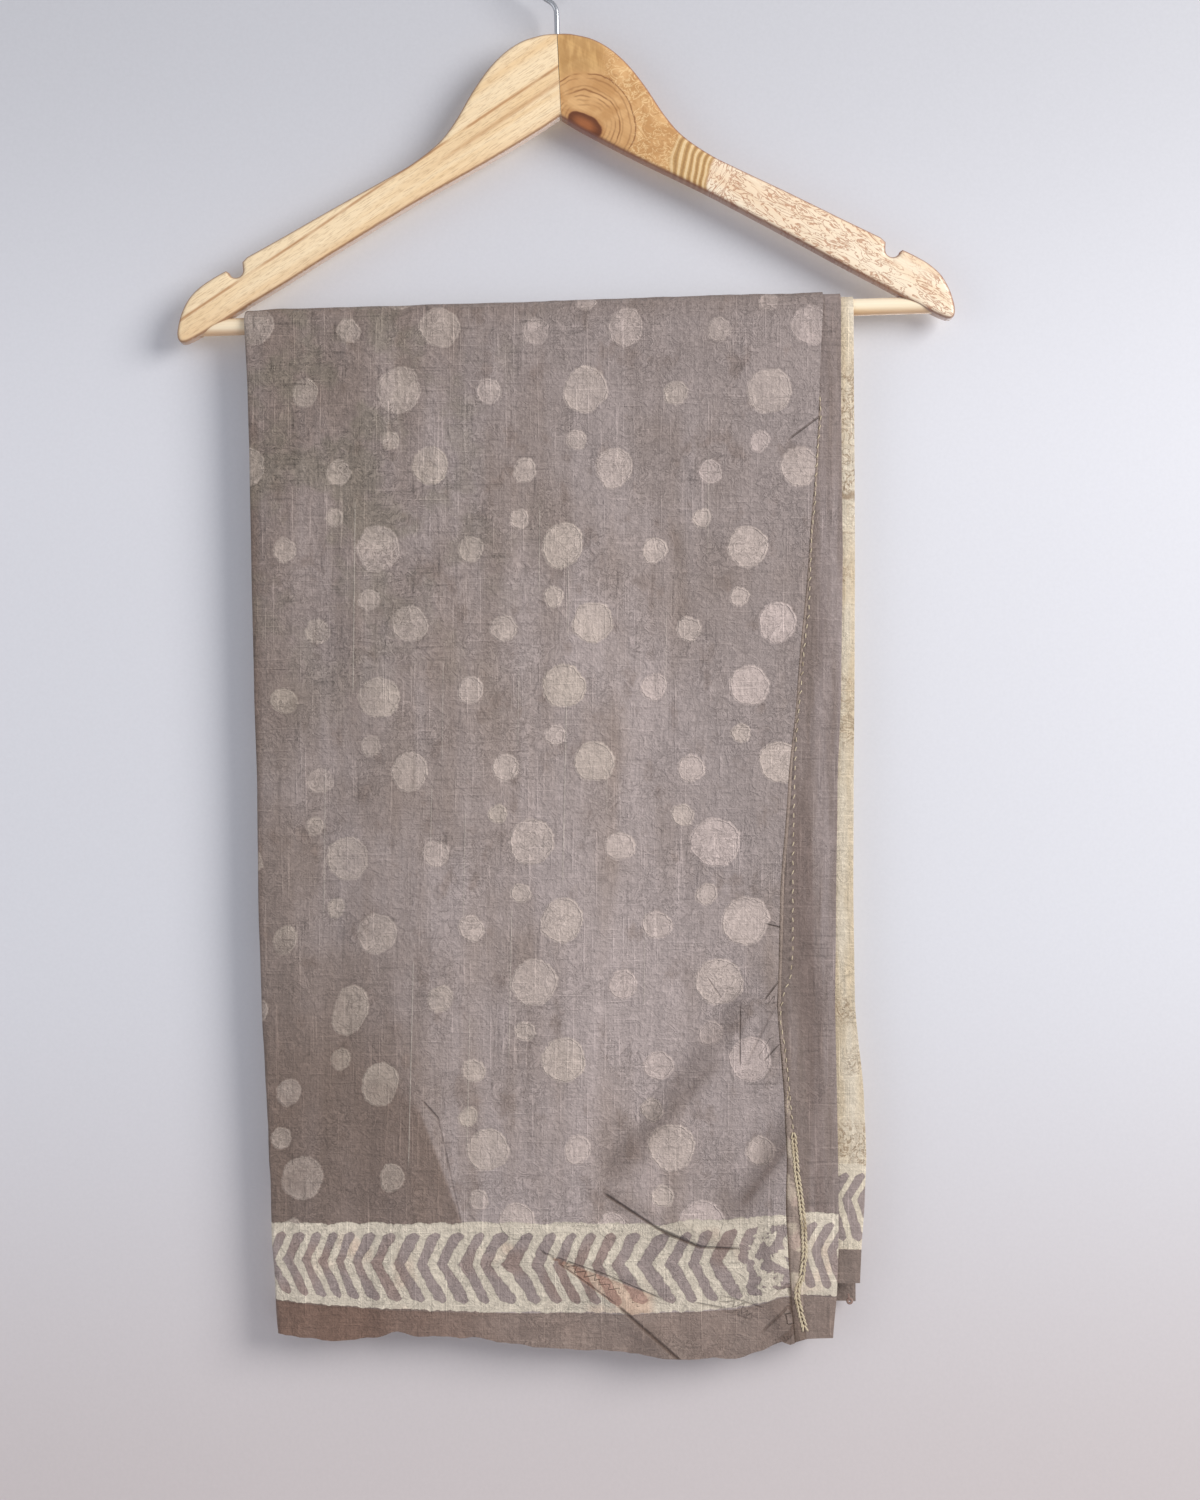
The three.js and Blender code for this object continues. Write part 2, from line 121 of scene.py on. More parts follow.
BACK_EDGES = table(
    "z fold outer hem strip end",
    (-212, -176.8, 153.4, 0.9, 163.4, 170.7),
    (-300, -174.2, 152.0, 1.0, 162.6, 170.2),
    (-420, -171.4, 149.2, 1.2, 161.4, 169.6),
    (-540, -169.0, 146.6, 1.2, 160.2, 170.4),
    (-660, -165.2, 147.8, 1.2, 160.8, 172.2),
    (-760, -161.4, 149.4, 1.2, 161.4, 173.0),
    (-812, -158.6, 150.0, 1.2, 160.6, 173.2),
)
LOWER_EDGE = table(
    "x front back",
    (-180, -798.6, -799.4), (-157, -799.8, -800.6), (-125, -803.6, -801.8),
    (-104, -802.0, -800.6), (-88, -797.6, -799.2), (-78, -800.8, -798.8),
    (-46, -801.4, -799.6), (-30, -804.2, -800.4), (2, -807.6, -801.0),
    (36, -810.2, -802.6), (70, -813.6, -803.0), (104, -813.4, -802.2),
    (118, -809.2, -801.2), (128, -803.0, -800.4), (135, -805.6, -800.0),
    (141, -802.6, -800.0), (185, -802.6, -800.0),
)
END_LAYER_SHORT = {"front": 31, "back": 16}

# Soft ridges (+) and troughs (-), in every layer: middle, length, half width, height, lean
FRONT_FOLDS = table(
    "x z length width height lean",
    (72, -660, 120, 15, -1.8, 38), (96, -668, 110, 16, 1.5, 36),
    (33, -784, 90, 11, 2.2, -52), (24, -800, 80, 12, -1.6, -52),
    (-148, -560, 420, 14, 1.3, -2), (-120, -640, 330, 16, -1.2, -4),
    (-84, -700, 240, 18, 1.8, 6), (-36, -600, 380, 20, -1.3, -3),
    (8, -540, 330, 22, 1.3, 4), (50, -470, 330, 18, -1.1, 2),
    (98, -480, 360, 20, 1.4, -3), (134, -720, 170, 12, 1.8, 3),
    (152, -560, 330, 12, -1.0, 0),
)
BACK_FOLDS = table(
    "x z length width height lean",
    (-140, -600, 400, 16, 1.5, 3), (-98, -540, 360, 18, -1.3, -4),
    (-52, -640, 380, 20, 1.7, 5), (-4, -560, 330, 20, -1.4, -2),
    (44, -660, 300, 18, 1.6, -8), (90, -500, 380, 20, -1.2, 3),
    (128, -640, 330, 16, 1.6, 2), (-76, -730, 110, 14, -1.6, 40),
)

# Creases of the outer layer alone, which stand out from the layers below
OUTER_CREASES = {
    "front": table(
        "x z length width height lean",
        (88, -636, 150, 6.6, 2.4, 37), (62, -676, 110, 5.5, 1.44, 42),
        (66, -738, 70, 5.5, 1.76, -62), (88, -744, 60, 5.5, 1.28, -80),
        (26, -758, 70, 5, 1.76, -66), (50, -795, 72, 5, 2.4, -42),
        (36, -776, 60, 4.4, 1.44, -56), (143, -283, 24, 4.4, 1.44, 52),
        (121, -706, 52, 5.5, 1.6, 36), (122, -760, 60, 5.5, 1.92, 8),
        (126, -786, 34, 4.4, 1.92, -30), (116, -778, 40, 5.5, 1.44, 20),
        (133, -640, 60, 4.4, 1.28, 4), (-66, -706, 90, 7.7, 1.12, -16),
        (-140, -770, 60, 8.8, 1.28, 14), (-96, -790, 40, 6.6, 1.6, -8),
        (-12, -790, 44, 7.7, 1.28, 10), (84, -792, 44, 7.7, 1.44, -24),
        (-150, -330, 160, 6.6, 0.8, -3), (-118, -420, 190, 7.7, 0.8, 4),
        (-30, -360, 170, 7.7, 0.72, -2), (66, -330, 150, 6.6, 0.8, 3),
        (118, -560, 180, 6.6, 0.96, -3), (20, -640, 160, 7.7, 0.8, 3),
        (-50, -500, 200, 7.7, 0.8, 2), (-8, -250, 46, 9.9, 0.8, 60),
        (-120, -262, 50, 9.9, 0.8, -58), (96, -246, 40, 8.8, 0.8, 50),
    ),
    "back": table(
        "x z length width height lean",
        (-92, -650, 150, 6.6, 1.92, -34), (-60, -742, 80, 5.5, 1.76, 58),
        (24, -768, 70, 5.5, 1.92, 62), (70, -700, 130, 6.6, 1.44, 28),
        (110, -778, 50, 5.5, 1.76, -18), (-132, -782, 48, 6.6, 1.6, 10),
        (-20, -790, 44, 7.7, 1.28, -12), (130, -430, 170, 6.6, 0.96, 3),
        (-130, -400, 190, 7.7, 0.96, -4), (10, -450, 210, 7.7, 0.96, 3),
        (-50, -330, 150, 6.6, 0.8, -2), (78, -320, 160, 7.7, 0.8, 4),
        (40, -560, 170, 6.6, 0.96, -5), (-8, -640, 150, 6.6, 0.8, 6),
    ),
}

# Levels of the cloth's middle
THICKNESS = 0.35
LEVELS = {"outer": 3.4, "return": 0.5, "end": 0.82, "end_back": 0.32}
INNER_LEVELS = table(
    "upper lower inset short",
    (2.8, 2.35, 0.0, 0.0),
    (1.9, 1.45, 1.3, 3.2),
)
BAR_WRAP = BAR_RADIUS + FIT
HANG_IN = 0.8
SMOOTH_BELOW_BAR = 70
FOLD_INSET = 1.8  # from the fold's outline to the middle of its turn
LEAF_INSET = 0.6  # from there to where a folded leaf starts
RETURN_SHARE = 10 / 17  # the outer layer comes back inside over this share of its width
HEM_TOP_SHARE = 20 / 22
HEM = {"gap": 0.12, "above": 0.05, "puff": 0.16, "most": 0.9, "points": 7}
LOWER_EDGE_LIFT = 0.5
# The lower edges' unevenness: height, place in the noise, size and seed
LOWER_EDGE_WAVES = ((0.8, 3.3, 9, 91), (0.4, 7.7, 4, 92))

# Fine grid of the outer layer, and the coarser one of the others
OUTER_GRID = {"across": 112, "return": 16, "turn": 5, "front": 200, "bar": 12, "back": 100}
CLOSER_BELOW = 1.2  # the rows in front lie closer together near the lower edge
INNER_GRID = {"across": 44, "turn": 4, "front": 90, "bar": 10, "back": 80}
END_ACROSS = 26
HEM_ROWS = 210

BAR_HEIGHT = -BAR_DROP / math.cos(HANGER_TILT)
CLOTH_OVER_BAR = math.pi * (BAR_WRAP + LEVELS["outer"])
ALONG_AT_ORIGIN = -BAR_HEIGHT - CLOTH_OVER_BAR / 2  # along the drape, less the height, in front


def look_up(a_table, key, at, column):
    """Value of one column of a table at a place, between its rows."""
    order = np.argsort(a_table[key])
    places = a_table[key][order]
    values = a_table[column][order]
    at = np.clip(at, places[0], places[-1])
    i = np.clip(np.searchsorted(places, at) - 1, 0, len(places) - 2)
    t = (at - places[i]) / (places[i + 1] - places[i])
    ease = t * t * (3 - 2 * t) * 0.35 + t * 0.65
    return values[i] + (values[i + 1] - values[i]) * ease


def smooth_step(t):
    t = np.clip(t, 0, 1)
    return t * t * (3 - 2 * t)


def soft_noise(u, v, size, seed):
    """Smooth noise from -1 to 1 in lumps of this size, the same in each run."""
    lattice = np.random.default_rng(seed).uniform(-1, 1, (97, 97))
    a = np.asarray(u) / size
    b = np.asarray(v) / size
    i = np.floor(a).astype(int)
    j = np.floor(b).astype(int)
    fa = smooth_step(a - i)
    fb = smooth_step(b - j)
    value = lambda k, m: lattice[(i + k) % 97, (j + m) % 97]
    low = value(0, 0) * (1 - fa) + value(1, 0) * fa
    high = value(0, 1) * (1 - fa) + value(1, 1) * fa
    return low * (1 - fb) + high * fb


def bar_height(x):
    return BAR_HEIGHT + x * math.tan(HANGER_TILT)


def smooth_below(x, z):
    """0 at the bar and 1 well below it."""
    below = bar_height(x) - z
    return smooth_step(below / SMOOTH_BELOW_BAR) * np.clip(below / 20, 0, 1)


def ridge_height(ridges, x, z):
    """How far the ridges and troughs of a table push the cloth out, below the bar."""
    total = np.zeros_like(x)
    for f in rows_of(ridges):
        lean = math.radians(f["lean"])
        along = (z - f["z"]) * math.cos(lean) + (x - f["x"]) * math.sin(lean)
        across = (x - f["x"]) * math.cos(lean) - (z - f["z"]) * math.sin(lean)
        total += f["height"] * np.exp(-((across / f["width"]) ** 2) - (2 * along / f["length"]) ** 2)
    return total * smooth_below(x, z)


def drape_rows(grid, short=(0, 0), top_share=1.0):
    """Rows from the front hem over the bar to the back hem."""
    rows = []
    for i in range(grid["front"] + 1):
        share = top_share * (i / grid["front"]) ** CLOSER_BELOW
        rows.append({"side": "front", "share": share, "lift": short[0] * (1 - share)})
    if top_share < 1:
        return rows
    for i in range(1, grid["bar"]):
        rows.append({"side": "bar", "angle": math.pi * (1 - i / grid["bar"])})
    for i in range(grid["back"] + 1):
        share = 1 - i / grid["back"]
        rows.append({"side": "back", "share": share, "lift": short[1] * (1 - share)})
    return rows


def row_height(row, x):
    low = look_up(LOWER_EDGE, "x", x, row["side"]) + row["lift"] + LOWER_EDGE_LIFT
    low += sum(height * soft_noise(x, x * 0 + at, size, seed) for height, at, size, seed in LOWER_EDGE_WAVES)
    return low + (bar_height(x) - low) * row["share"]


def row_edges(row):
    """A row's side edges."""
    edges = BACK_EDGES if row["side"] == "back" else FRONT_EDGES
    z = edges["z"][0] if row["side"] == "bar" else row_height(row, 0)
    at = {name: float(look_up(edges, "z", z, name)) for name in edges if name != "z"}
    at["hem"] += at["outer"]
    at["centre"] = at["fold"] + FOLD_INSET
    at["inner_end"] = at["centre"] + (at["outer"] - at["centre"]) * RETURN_SHARE
    return at


def hang_out(x, z, level, folds):
    """How far from the bar's middle the cloth hangs, below the bar."""
    share = np.clip((bar_height(x) - z) / BAR_DROP, 0, 1)
    return BAR_WRAP - HANG_IN * smooth_step(share) + level + ridge_height(folds, x, z)


def drape(x, level, row, creases=None):
    """Points of the draped cloth, and how far along the drape each is."""
    if row["side"] == "bar":
        reach = BAR_WRAP + level
        along = bar_height(x) + ALONG_AT_ORIGIN + CLOTH_OVER_BAR * (1 - row["angle"] / math.pi)
        y = reach * math.cos(row["angle"])
        z = bar_height(x) + reach * math.sin(row["angle"])
        return np.stack([x, y, z], axis=1), along
    z = row_height(row, x)
    front = row["side"] == "front"
    out = hang_out(x, z, level, FRONT_FOLDS if front else BACK_FOLDS)
    if creases:
        out += ridge_height(creases[row["side"]], x, z)
    along = z + ALONG_AT_ORIGIN
    if not front:
        along = 2 * bar_height(x) - z + ALONG_AT_ORIGIN + CLOTH_OVER_BAR
    return np.stack([x, -out if front else out, z], axis=1), along


# Where things are printed on the cloth

# The repeat of the dots: places in a block, across and down, and radius
DOT_BLOCK = table(
    "x down radius",
    (0.0, 0.0, 11.9), (51.1, 1.7, 7.1), (-5.1, 28.4, 5.4),
    (17.0, 43.8, 10.8), (71.0, 46.6, 6.8), (67.1, 73.3, 5.4),
)
BLOCK_WIDTH = 105.1
LAST_DOT = 67.1  # the dot that only every other row of blocks has
DOT_LEAN = math.radians(20)
# Rows of blocks: where the first dot of one lies, and how much lower it hangs at the left
DOT_ROWS = table(
    "x z drop",
    (-82.2, -182.0, 0.0), (-87.5, -262.0, 0.0), (-99.5, -350.6, 1.6), (-98.7, -429.8, 7.4),
    (-118.0, -519.5, 8.6), (-116.5, -599.0, 15.5), (-143.0, -692.0, 19.0),
)
BACK_DOT_ROWS = table(
    "x along drop",
    (-92, 110, 0), (-104, 197, 2), (-88, 285, -4), (-116, 371, -6), (-101, 458, -9),
    (-124, 545, -12),
)


def dot_places():
    """Every dot of the print: middle, radius, stretch and tint."""
    random = np.random.default_rng(23)
    starts = [(row["x"], row["z"] + ALONG_AT_ORIGIN, row["drop"]) for row in rows_of(DOT_ROWS)]
    starts += [(row["x"], row["along"], row["drop"]) for row in rows_of(BACK_DOT_ROWS)]
    dots = []
    for number, (x, along, drop) in enumerate(starts):
        for block in range(-3, 4):
            for dot in rows_of(DOT_BLOCK):
                place = np.array([x + block * BLOCK_WIDTH + dot["x"], along - dot["down"]])
                place[1] -= drop * smooth_step((-20 - place[0]) / 95)
                place += random.uniform(-0.8, 0.8, 2)
                across, up = place
                # Dots are larger low at the right, and drawn out low at the left
                growth = 1 + 0.16 * smooth_step((across + 60) / 160) * smooth_step((-up - 200) / 160)
                pulled = smooth_step((-70 - across) / 40) * smooth_step((-up - 300) / 80)
                if dot["x"] == LAST_DOT and number % 2 == 0:
                    continue
                dots.append({
                    "place": place,
                    "radius": dot["radius"] * growth * random.uniform(0.93, 1.06),
                    "stretch": random.uniform(0.96, 1.06) + random.uniform(0.04, 0.2) * pulled,
                    "tint": np.clip(0.6 + across / 420 + random.uniform(-0.3, 0.3), 0, 1),
                })
    return dots


def dot_field(across, along):
    """At each place, the distance outside the nearest dot's edge, and that dot's tint."""
    nearest = np.full_like(across, 99.0)
    tint = np.zeros_like(across)
    for dot in dot_places():
        u = across - dot["place"][0]
        v = along - dot["place"][1]
        long_way = (u * math.sin(DOT_LEAN) + v * math.cos(DOT_LEAN)) / dot["stretch"]
        short_way = (u * math.cos(DOT_LEAN) - v * math.sin(DOT_LEAN)) * dot["stretch"]
        distance = np.hypot(long_way, short_way) - dot["radius"]
        closer = distance < nearest
        nearest = np.where(closer, distance, nearest)
        tint = np.where(closer, dot["tint"], tint)
    return nearest, tint


# The border in front, across the cloth: its edges, and how many strokes come before
FRONT_BAND = table(
    "x top bottom strokes",
    (-172, -735.5, -779.5, -1.9), (-154.4, -735.5, -779.9, 0.2), (-143.8, -735.5, -781.0, 1.2),
    (-134.2, -735.5, -782.2, 2.2), (-124.5, -735.5, -783.0, 3.2), (-115.8, -735.5, -783.6, 4.2),
    (-104.4, -735.5, -784.3, 5.2), (-92.5, -735.5, -784.9, 6.2), (-79.1, -735.5, -785.5, 7.2),
    (-67.2, -735.5, -786.2, 8.2), (-54.6, -735.5, -786.7, 9.2), (-29.4, -735.5, -786.9, 11.2),
    (58, -735.5, -786.7, 17.9), (101, -733.3, -785.0, 21.1), (110, -732.5, -783.3, 21.8),
    (129.5, -731.0, -777.6, 23.2), (160, -731.0, -777.6, 25.6),
)
BACK_BAND = {"top": -735.0, "bottom": -779.5, "stroke": 12.8, "first": 0.0}
STRIP_BAND = {"top": -731.0, "bottom": -778.7, "stroke": 9.2, "first": 144.5}
END_BAND = {"top": -702.6, "bottom": -751.5, "stroke": 9.2, "first": 162.1}
BAND_WAVES = ((0.9, 31), (0.5, 12))  # how unevenly it lies: height and size


def height_at(across, along):
    """The height of a place on either half, and whether it is in front."""
    top = bar_height(across)
    front = along < top + ALONG_AT_ORIGIN + CLOTH_OVER_BAR / 2
    back_height = 2 * top + ALONG_AT_ORIGIN + CLOTH_OVER_BAR - along
    return np.where(front, along - ALONG_AT_ORIGIN, back_height), front


def plain_band(band, across, along):
    """Strokes counted across the cloth, and height in the border from 0 to 1."""
    z, _ = height_at(across, along)
    wave = sum(height * np.sin(across / size) for height, size in BAND_WAVES)
    height = (z + wave - band["bottom"]) / (band["top"] - band["bottom"])
    return (across - band["first"]) / band["stroke"], height


def outer_band(across, along):
    """The same for the outer layer, whose border lies less evenly in front."""
    z, front = height_at(across, along)
    low = look_up(FRONT_BAND, "x", across, "bottom")
    high = look_up(FRONT_BAND, "x", across, "top")
    back_strokes, back_height = plain_band(BACK_BAND, across, along)
    strokes = np.where(front, look_up(FRONT_BAND, "x", across, "strokes"), back_strokes)
    return strokes, np.where(front, (z - low) / (high - low), back_height)


# Painted shade of creases on the front of the outer layer: both ends, half width and strength
CREASE_SHADE_LINES = table(
    "x0 z0 x1 z1 width dark",
    (31.1, -720.8, 60.4, -739.5, 1.3, 0.58), (60.4, -739.5, 83.1, -749.2, 1.8, 0.64),
    (83.1, -749.2, 101.9, -750.3, 1.2, 0.50), (-5.8, -752.6, 28.0, -764.5, 0.9, 0.34),
    (28.0, -764.5, 58.1, -777.6, 0.9, 0.30), (-5.8, -752.6, 32.0, -778.7, 0.9, 0.30),
    (39.0, -784.5, 70.1, -812.8, 1.5, 0.50), (136.0, -288.3, 151.3, -276.9, 0.8, 0.4),
    (133.6, -770.7, 137.2, -798.0, 1.4, 0.55), (134.5, -781.6, 120.0, -796.2, 1.3, 0.34),
    (136.3, -798.0, 129.0, -805.2, 1.4, 0.36), (98.0, -778.0, 117.0, -783.0, 1.0, 0.22),
    (96.0, -786.0, 110.0, -790.0, 1.0, 0.16), (126.0, -776.0, 133.0, -770.0, 1.0, 0.24),
    (-73.0, -668.0, -66.0, -676.0, 1.0, 0.30), (-66.0, -676.0, -53.5, -733.0, 1.0, 0.16),
    (88.6, -598.0, 94.0, -606.0, 0.9, 0.18), (112.0, -640.0, 126.0, -612.0, 1.2, 0.16),
    (131.4, -692.9, 109.3, -722.5, 3.6, 0.2), (82.0, -781.5, 104.0, -786.0, 1.0, 0.25),
    (105.9, -614.5, 105.9, -642.9, 0.6, 0.34), (121.4, -606.5, 126.3, -600.1, 0.7, 0.5),
    (122.9, -566.2, 128.6, -567.6, 0.6, 0.45), (128.6, -802.0, 134.0, -797.0, 1.6, 0.3),
    (121.6, -641.0, 126.2, -636.0, 0.6, 0.42),
)
# Painted shade of soft troughs beside the creases: the same
TROUGH_SHADOWS = table(
    "x0 z0 x1 z1 width dark",
    (106.4, -613.4, 37.1, -703.2, 8.5, 0.40), (88.0, -648.0, 56.0, -682.0, 6.0, 0.50),
    (34.0, -722.0, 98.0, -748.0, 5.0, 0.24), (-86.0, -664.0, -54.0, -738.4, 3.2, 0.12),
    (131.4, -684.9, 107.0, -726.5, 8.5, 0.50), (128.0, -786.0, 134.0, -803.0, 6.0, 0.42),
    (116.0, -735.0, 128.0, -775.0, 4.0, 0.16), (44.0, -786.0, 70.0, -812.8, 4.0, 0.22),
    (12.0, -757.0, 56.0, -776.0, 4.0, 0.14), (128.6, -806.0, 137.0, -776.0, 3.2, 0.30),
    (118.0, -806.0, 133.0, -782.0, 3.0, 0.18), (112.0, -650.0, 122.0, -600.0, 5.0, 0.10),
)
# The edge of a pleat below: the cloth to its left is darker
LEFT_PLEAT = {"start": (-75.5, -673.3), "end": (-52.8, -734.0)}
# The tuck below the first crease, which shows the faded inside of the border
TUCK = {"start": (-5.8, -752.6), "upper": (58.1, -777.6), "lower": (41.1, -786.1)}
# Long pale threads of the weave: the same, with how pale each is
THREADS = table(
    "x0 z0 x1 z1 width dark",
    (7.2, -440, 5.0, -540, 0.45, 0.6), (8.2, -360, 8.0, -400, 0.4, 0.45),
    (-69.5, -490, -70.2, -520, 0.4, 0.5), (-50.5, -505, -51.5, -560, 0.4, 0.5),
    (-24.0, -560, -25.6, -640, 0.45, 0.55), (30.2, -470, 30.0, -500, 0.4, 0.4),
    (-8.0, -330, -8.4, -372, 0.4, 0.5), (52.0, -560, 51.2, -610, 0.4, 0.4),
    (-113.0, -330, -114.2, -430, 0.45, 0.6), (88.0, -300, 87.6, -352, 0.4, 0.4),
    (-80.0, -590, -82.4, -700, 0.45, 0.6), (-48.0, -620, -49.4, -690, 0.45, 0.5),
    (-63.0, -420, -63.6, -470, 0.4, 0.4), (-20.0, -420, -20.4, -462, 0.4, 0.4),
    (-130.0, -480, -131.0, -560, 0.45, 0.4), (64.0, -390, 63.6, -440, 0.4, 0.3),
)


def on_line(line, across, along):
    """How far places lie from one line of a table: aside, past its ends, and straight."""
    run = np.array([line["x1"] - line["x0"], line["z1"] - line["z0"]])
    length = np.hypot(*run)
    ahead, down = run / length
    u = across - line["x0"]
    v = along - line["z0"] - ALONG_AT_ORIGIN
    onward = u * ahead + v * down
    aside = u * down - v * ahead
    past = np.maximum(np.maximum(-onward, onward - length), 0)
    return aside, past, np.hypot(aside, past)


def line_field(lines, across, along):
    """Signed distance from the nearest line, in its half widths, and how strong it is there."""
    nearest = np.full_like(across, 99.0)
    signed = np.full_like(across, 99.0)
    strength = np.zeros_like(across)
    for line in rows_of(lines):
        aside, past, distance = on_line(line, across, along)
        closer = distance < nearest
        nearest = np.where(closer, distance, nearest)
        signed = np.where(closer, aside / line["width"], signed)
        strength = np.where(closer, line["dark"] * smooth_step(1 - past / 4) * (distance < 6), strength)
    return signed, strength


def trough_shade_field(lines, across, along):
    """The darkest painted shade of some soft troughs at each place."""
    amount = np.zeros_like(across)
    for line in rows_of(lines):
        aside, past, _ = on_line(line, across, along)
        here = line["dark"] * np.exp(-((aside / line["width"]) ** 2) - (past / 9) ** 2)
        amount = np.maximum(amount, here)
    return amount


def left_of(start, end, across, along):
    """Distance to the left of a line, as seen from its start."""
    run = np.subtract(end, start)
    ahead, down = run / np.hypot(*run)
    return (along - start[1] - ALONG_AT_ORIGIN) * ahead - (across - start[0]) * down


BAR_SLOPE = 0.031  # how the bar rises, as the drape's own scale shows it


def shade_and_tone_field(across, along):
    """Where the cloth is browner and darker (+) or lighter (-), as broad soft places: painted shade at the
    left fold and where the cloth turns over the bar, and broad tone that is partly painted light.
    """
    step = lambda value, low, high: smooth_step((value - low) / (high - low))
    # Painted shade where the cloth turns round the left fold
    edge_left = step(across, -163, -171) * step(along, -20, -100) * 0.8
    from_bar = np.abs(along - across * BAR_SLOPE)
    # Painted shade where the cloth turns over the bar
    near_bar = np.maximum(step(from_bar, 34, 4) * 0.38, step(from_bar, 10, 4) * 0.66)
    # Broad tone, partly painted light
    upper_left = step(across, -60, -160) * step(along, -300, -50) * 0.30
    below_bar = step(from_bar, 120, 20) * 0.16
    right = step(across, 60, 120) * step(along, -40, -120) * step(along, -340, -280) * 0.14
    middle = step(across, -130, -30) * step(across, 140, 50) * step(along, -50, -220) * 0.19
    low_right = step(across, -40, 40) * step(along, -330, -400) * 0.07
    browner = np.maximum.reduce([edge_left, near_bar, upper_left, below_bar, right])
    return browner - middle - low_right


def fold_fields(across, along):
    """The outer layer's UV maps of painted crease shade, threads, tone with painted shade, and folds."""
    tuck = np.minimum(
        left_of(TUCK["upper"], TUCK["start"], across, along),
        left_of(TUCK["start"], TUCK["lower"], across, along),
    )
    above_pleat = np.maximum(along - LEFT_PLEAT["start"][1] - ALONG_AT_ORIGIN, 0)
    beside_pleat = left_of(LEFT_PLEAT["start"], LEFT_PLEAT["end"], across, along)
    beside_pleat /= 1.4 + above_pleat * 1.1  # softer above its start
    return {
        "creases": line_field(CREASE_SHADE_LINES, across, along),
        "threads": line_field(THREADS, across, along),
        "tone": (shade_and_tone_field(across, along), trough_shade_field(TROUGH_SHADOWS, across, along)),
        "folds": (np.clip(tuck, -30, 30), np.clip(beside_pleat, -9, 9)),
    }


# Materials

def linear(colour):
    """A colour as a screen shows it, 0 to 255, in linear light."""
    return [((value / 255 + 0.055) / 1.055) ** 2.4 for value in colour]


class Value:
    """A number or colour at each place of a material, which sums can be made with."""

    def __init__(self, nodes, socket):
        self.nodes = nodes
        self.socket = socket

    def __add__(self, other):
        return self.nodes.math("ADD", self, other)

    def __sub__(self, other):
        return self.nodes.math("SUBTRACT", self, other)

    def __rsub__(self, other):
        return self.nodes.math("SUBTRACT", other, self)

    def __mul__(self, other):
        return self.nodes.math("MULTIPLY", self, other)

    def __abs__(self):
        return self.nodes.math("ABSOLUTE", self)

    __radd__ = __add__
    __rmul__ = __mul__

    def step(self, low, high):
        """0 where the value is low and 1 where it is high, with a soft step between."""
        inputs = {"Value": self, "From Min": low, "From Max": high}
        return self.nodes.out("Result", "ShaderNodeMapRange", inputs, interpolation_type="SMOOTHSTEP")

    def near(self, middle, reach, full=0.0):
        """1 close to a middle value and 0 beyond a reach from it."""
        return abs(self - middle).step(reach, full)

    def around(self, amount):
        """Noise of 0 to 1 turned into a shift to either side."""
        return (self - 0.5) * amount

    def toward(self, colour, share):
        return self.nodes.mix(share, self, colour)

    def lit(self, light):
        return self.nodes.brighten(self, light)


class Nodes:
    """Short calls that build a material's nodes. A colour is given as three numbers."""

    def __init__(self, name, cloth=False):
        self.material = bpy.data.materials.new(name)
        self.material.use_nodes = True
        self.tree = self.material.node_tree
        self.tree.nodes.clear()
        self.place = self.uv("cloth") if cloth else self.coordinates("Object")
        self.u, self.v, _ = self.split(self.place)  # on cloth, across it and along the drape

    def put(self, socket, value):
        if isinstance(value, Value):
            self.tree.links.new(value.socket, socket)
        elif isinstance(value, tuple):
            socket.default_value = linear(value) + [1.0] * (len(socket.default_value) - 3)
        else:
            socket.default_value = value

    def add(self, kind, inputs=(), **settings):
        node = self.tree.nodes.new(kind)
        for name, value in settings.items():
            setattr(node, name, value)
        for name, value in dict(inputs).items():
            self.put(node.inputs[name], value)
        return node

    def out(self, output, kind, inputs=(), **settings):
        return Value(self, self.add(kind, inputs, **settings).outputs[output])

    def math(self, operation, *values):
        return self.out(0, "ShaderNodeMath", enumerate(values), operation=operation)

    def most(self, a, b):
        return self.math("MAXIMUM", a, b)

    def least(self, a, b):
        return self.math("MINIMUM", a, b)

    def hypot(self, a, b):
        return self.math("SQRT", a * a + b * b)

    def join(self, x, y, z=0.0):
        return self.out(0, "ShaderNodeCombineXYZ", {"X": x, "Y": y, "Z": z})

    def split(self, vector):
        node = self.add("ShaderNodeSeparateXYZ", {"Vector": vector})
        return [Value(self, node.outputs[name]) for name in "XYZ"]

    def noise(self, scale, detail=2.0, roughness=0.5, distortion=0.0, at=None):
        inputs = {
            "Vector": at or self.place, "Scale": scale, "Detail": detail,
            "Roughness": roughness, "Distortion": distortion,
        }
        return self.out("Fac", "ShaderNodeTexNoise", inputs)

    def streaks(self, u_scale, v_scale, shift, detail=2.0, roughness=0.5, distortion=0.0):
        """Noise that is drawn out one way."""
        at = self.join(self.u * u_scale, self.v * v_scale, shift)
        return self.noise(1, detail, roughness, distortion, at)

    def mix(self, share, a, b):
        return self.out(2, "ShaderNodeMix", {0: share, 6: a, 7: b}, data_type="RGBA")

    def brighten(self, colour, factor):
        return self.out(0, "ShaderNodeVectorMath", {0: colour, "Scale": factor}, operation="SCALE")

    def uv(self, name):
        return self.out("UV", "ShaderNodeUVMap", uv_map=name)

    def coordinates(self, kind):
        return self.out(kind, "ShaderNodeTexCoord")

    def finish(self, colour, roughness, bumps=None, **shader):
        """The material. Its bumps are a height, their distance and their strength."""
        inputs = {"Base Color": colour, "Roughness": roughness}
        if bumps:
            bumps = zip(("Height", "Distance", "Strength"), bumps)
            inputs["Normal"] = self.out("Normal", "ShaderNodeBump", bumps)
        inputs.update({name.replace("_", " "): value for name, value in shader.items()})
        principled = self.out(0, "ShaderNodeBsdfPrincipled", inputs)
        self.add("ShaderNodeOutputMaterial", {"Surface": principled})
        return self.material


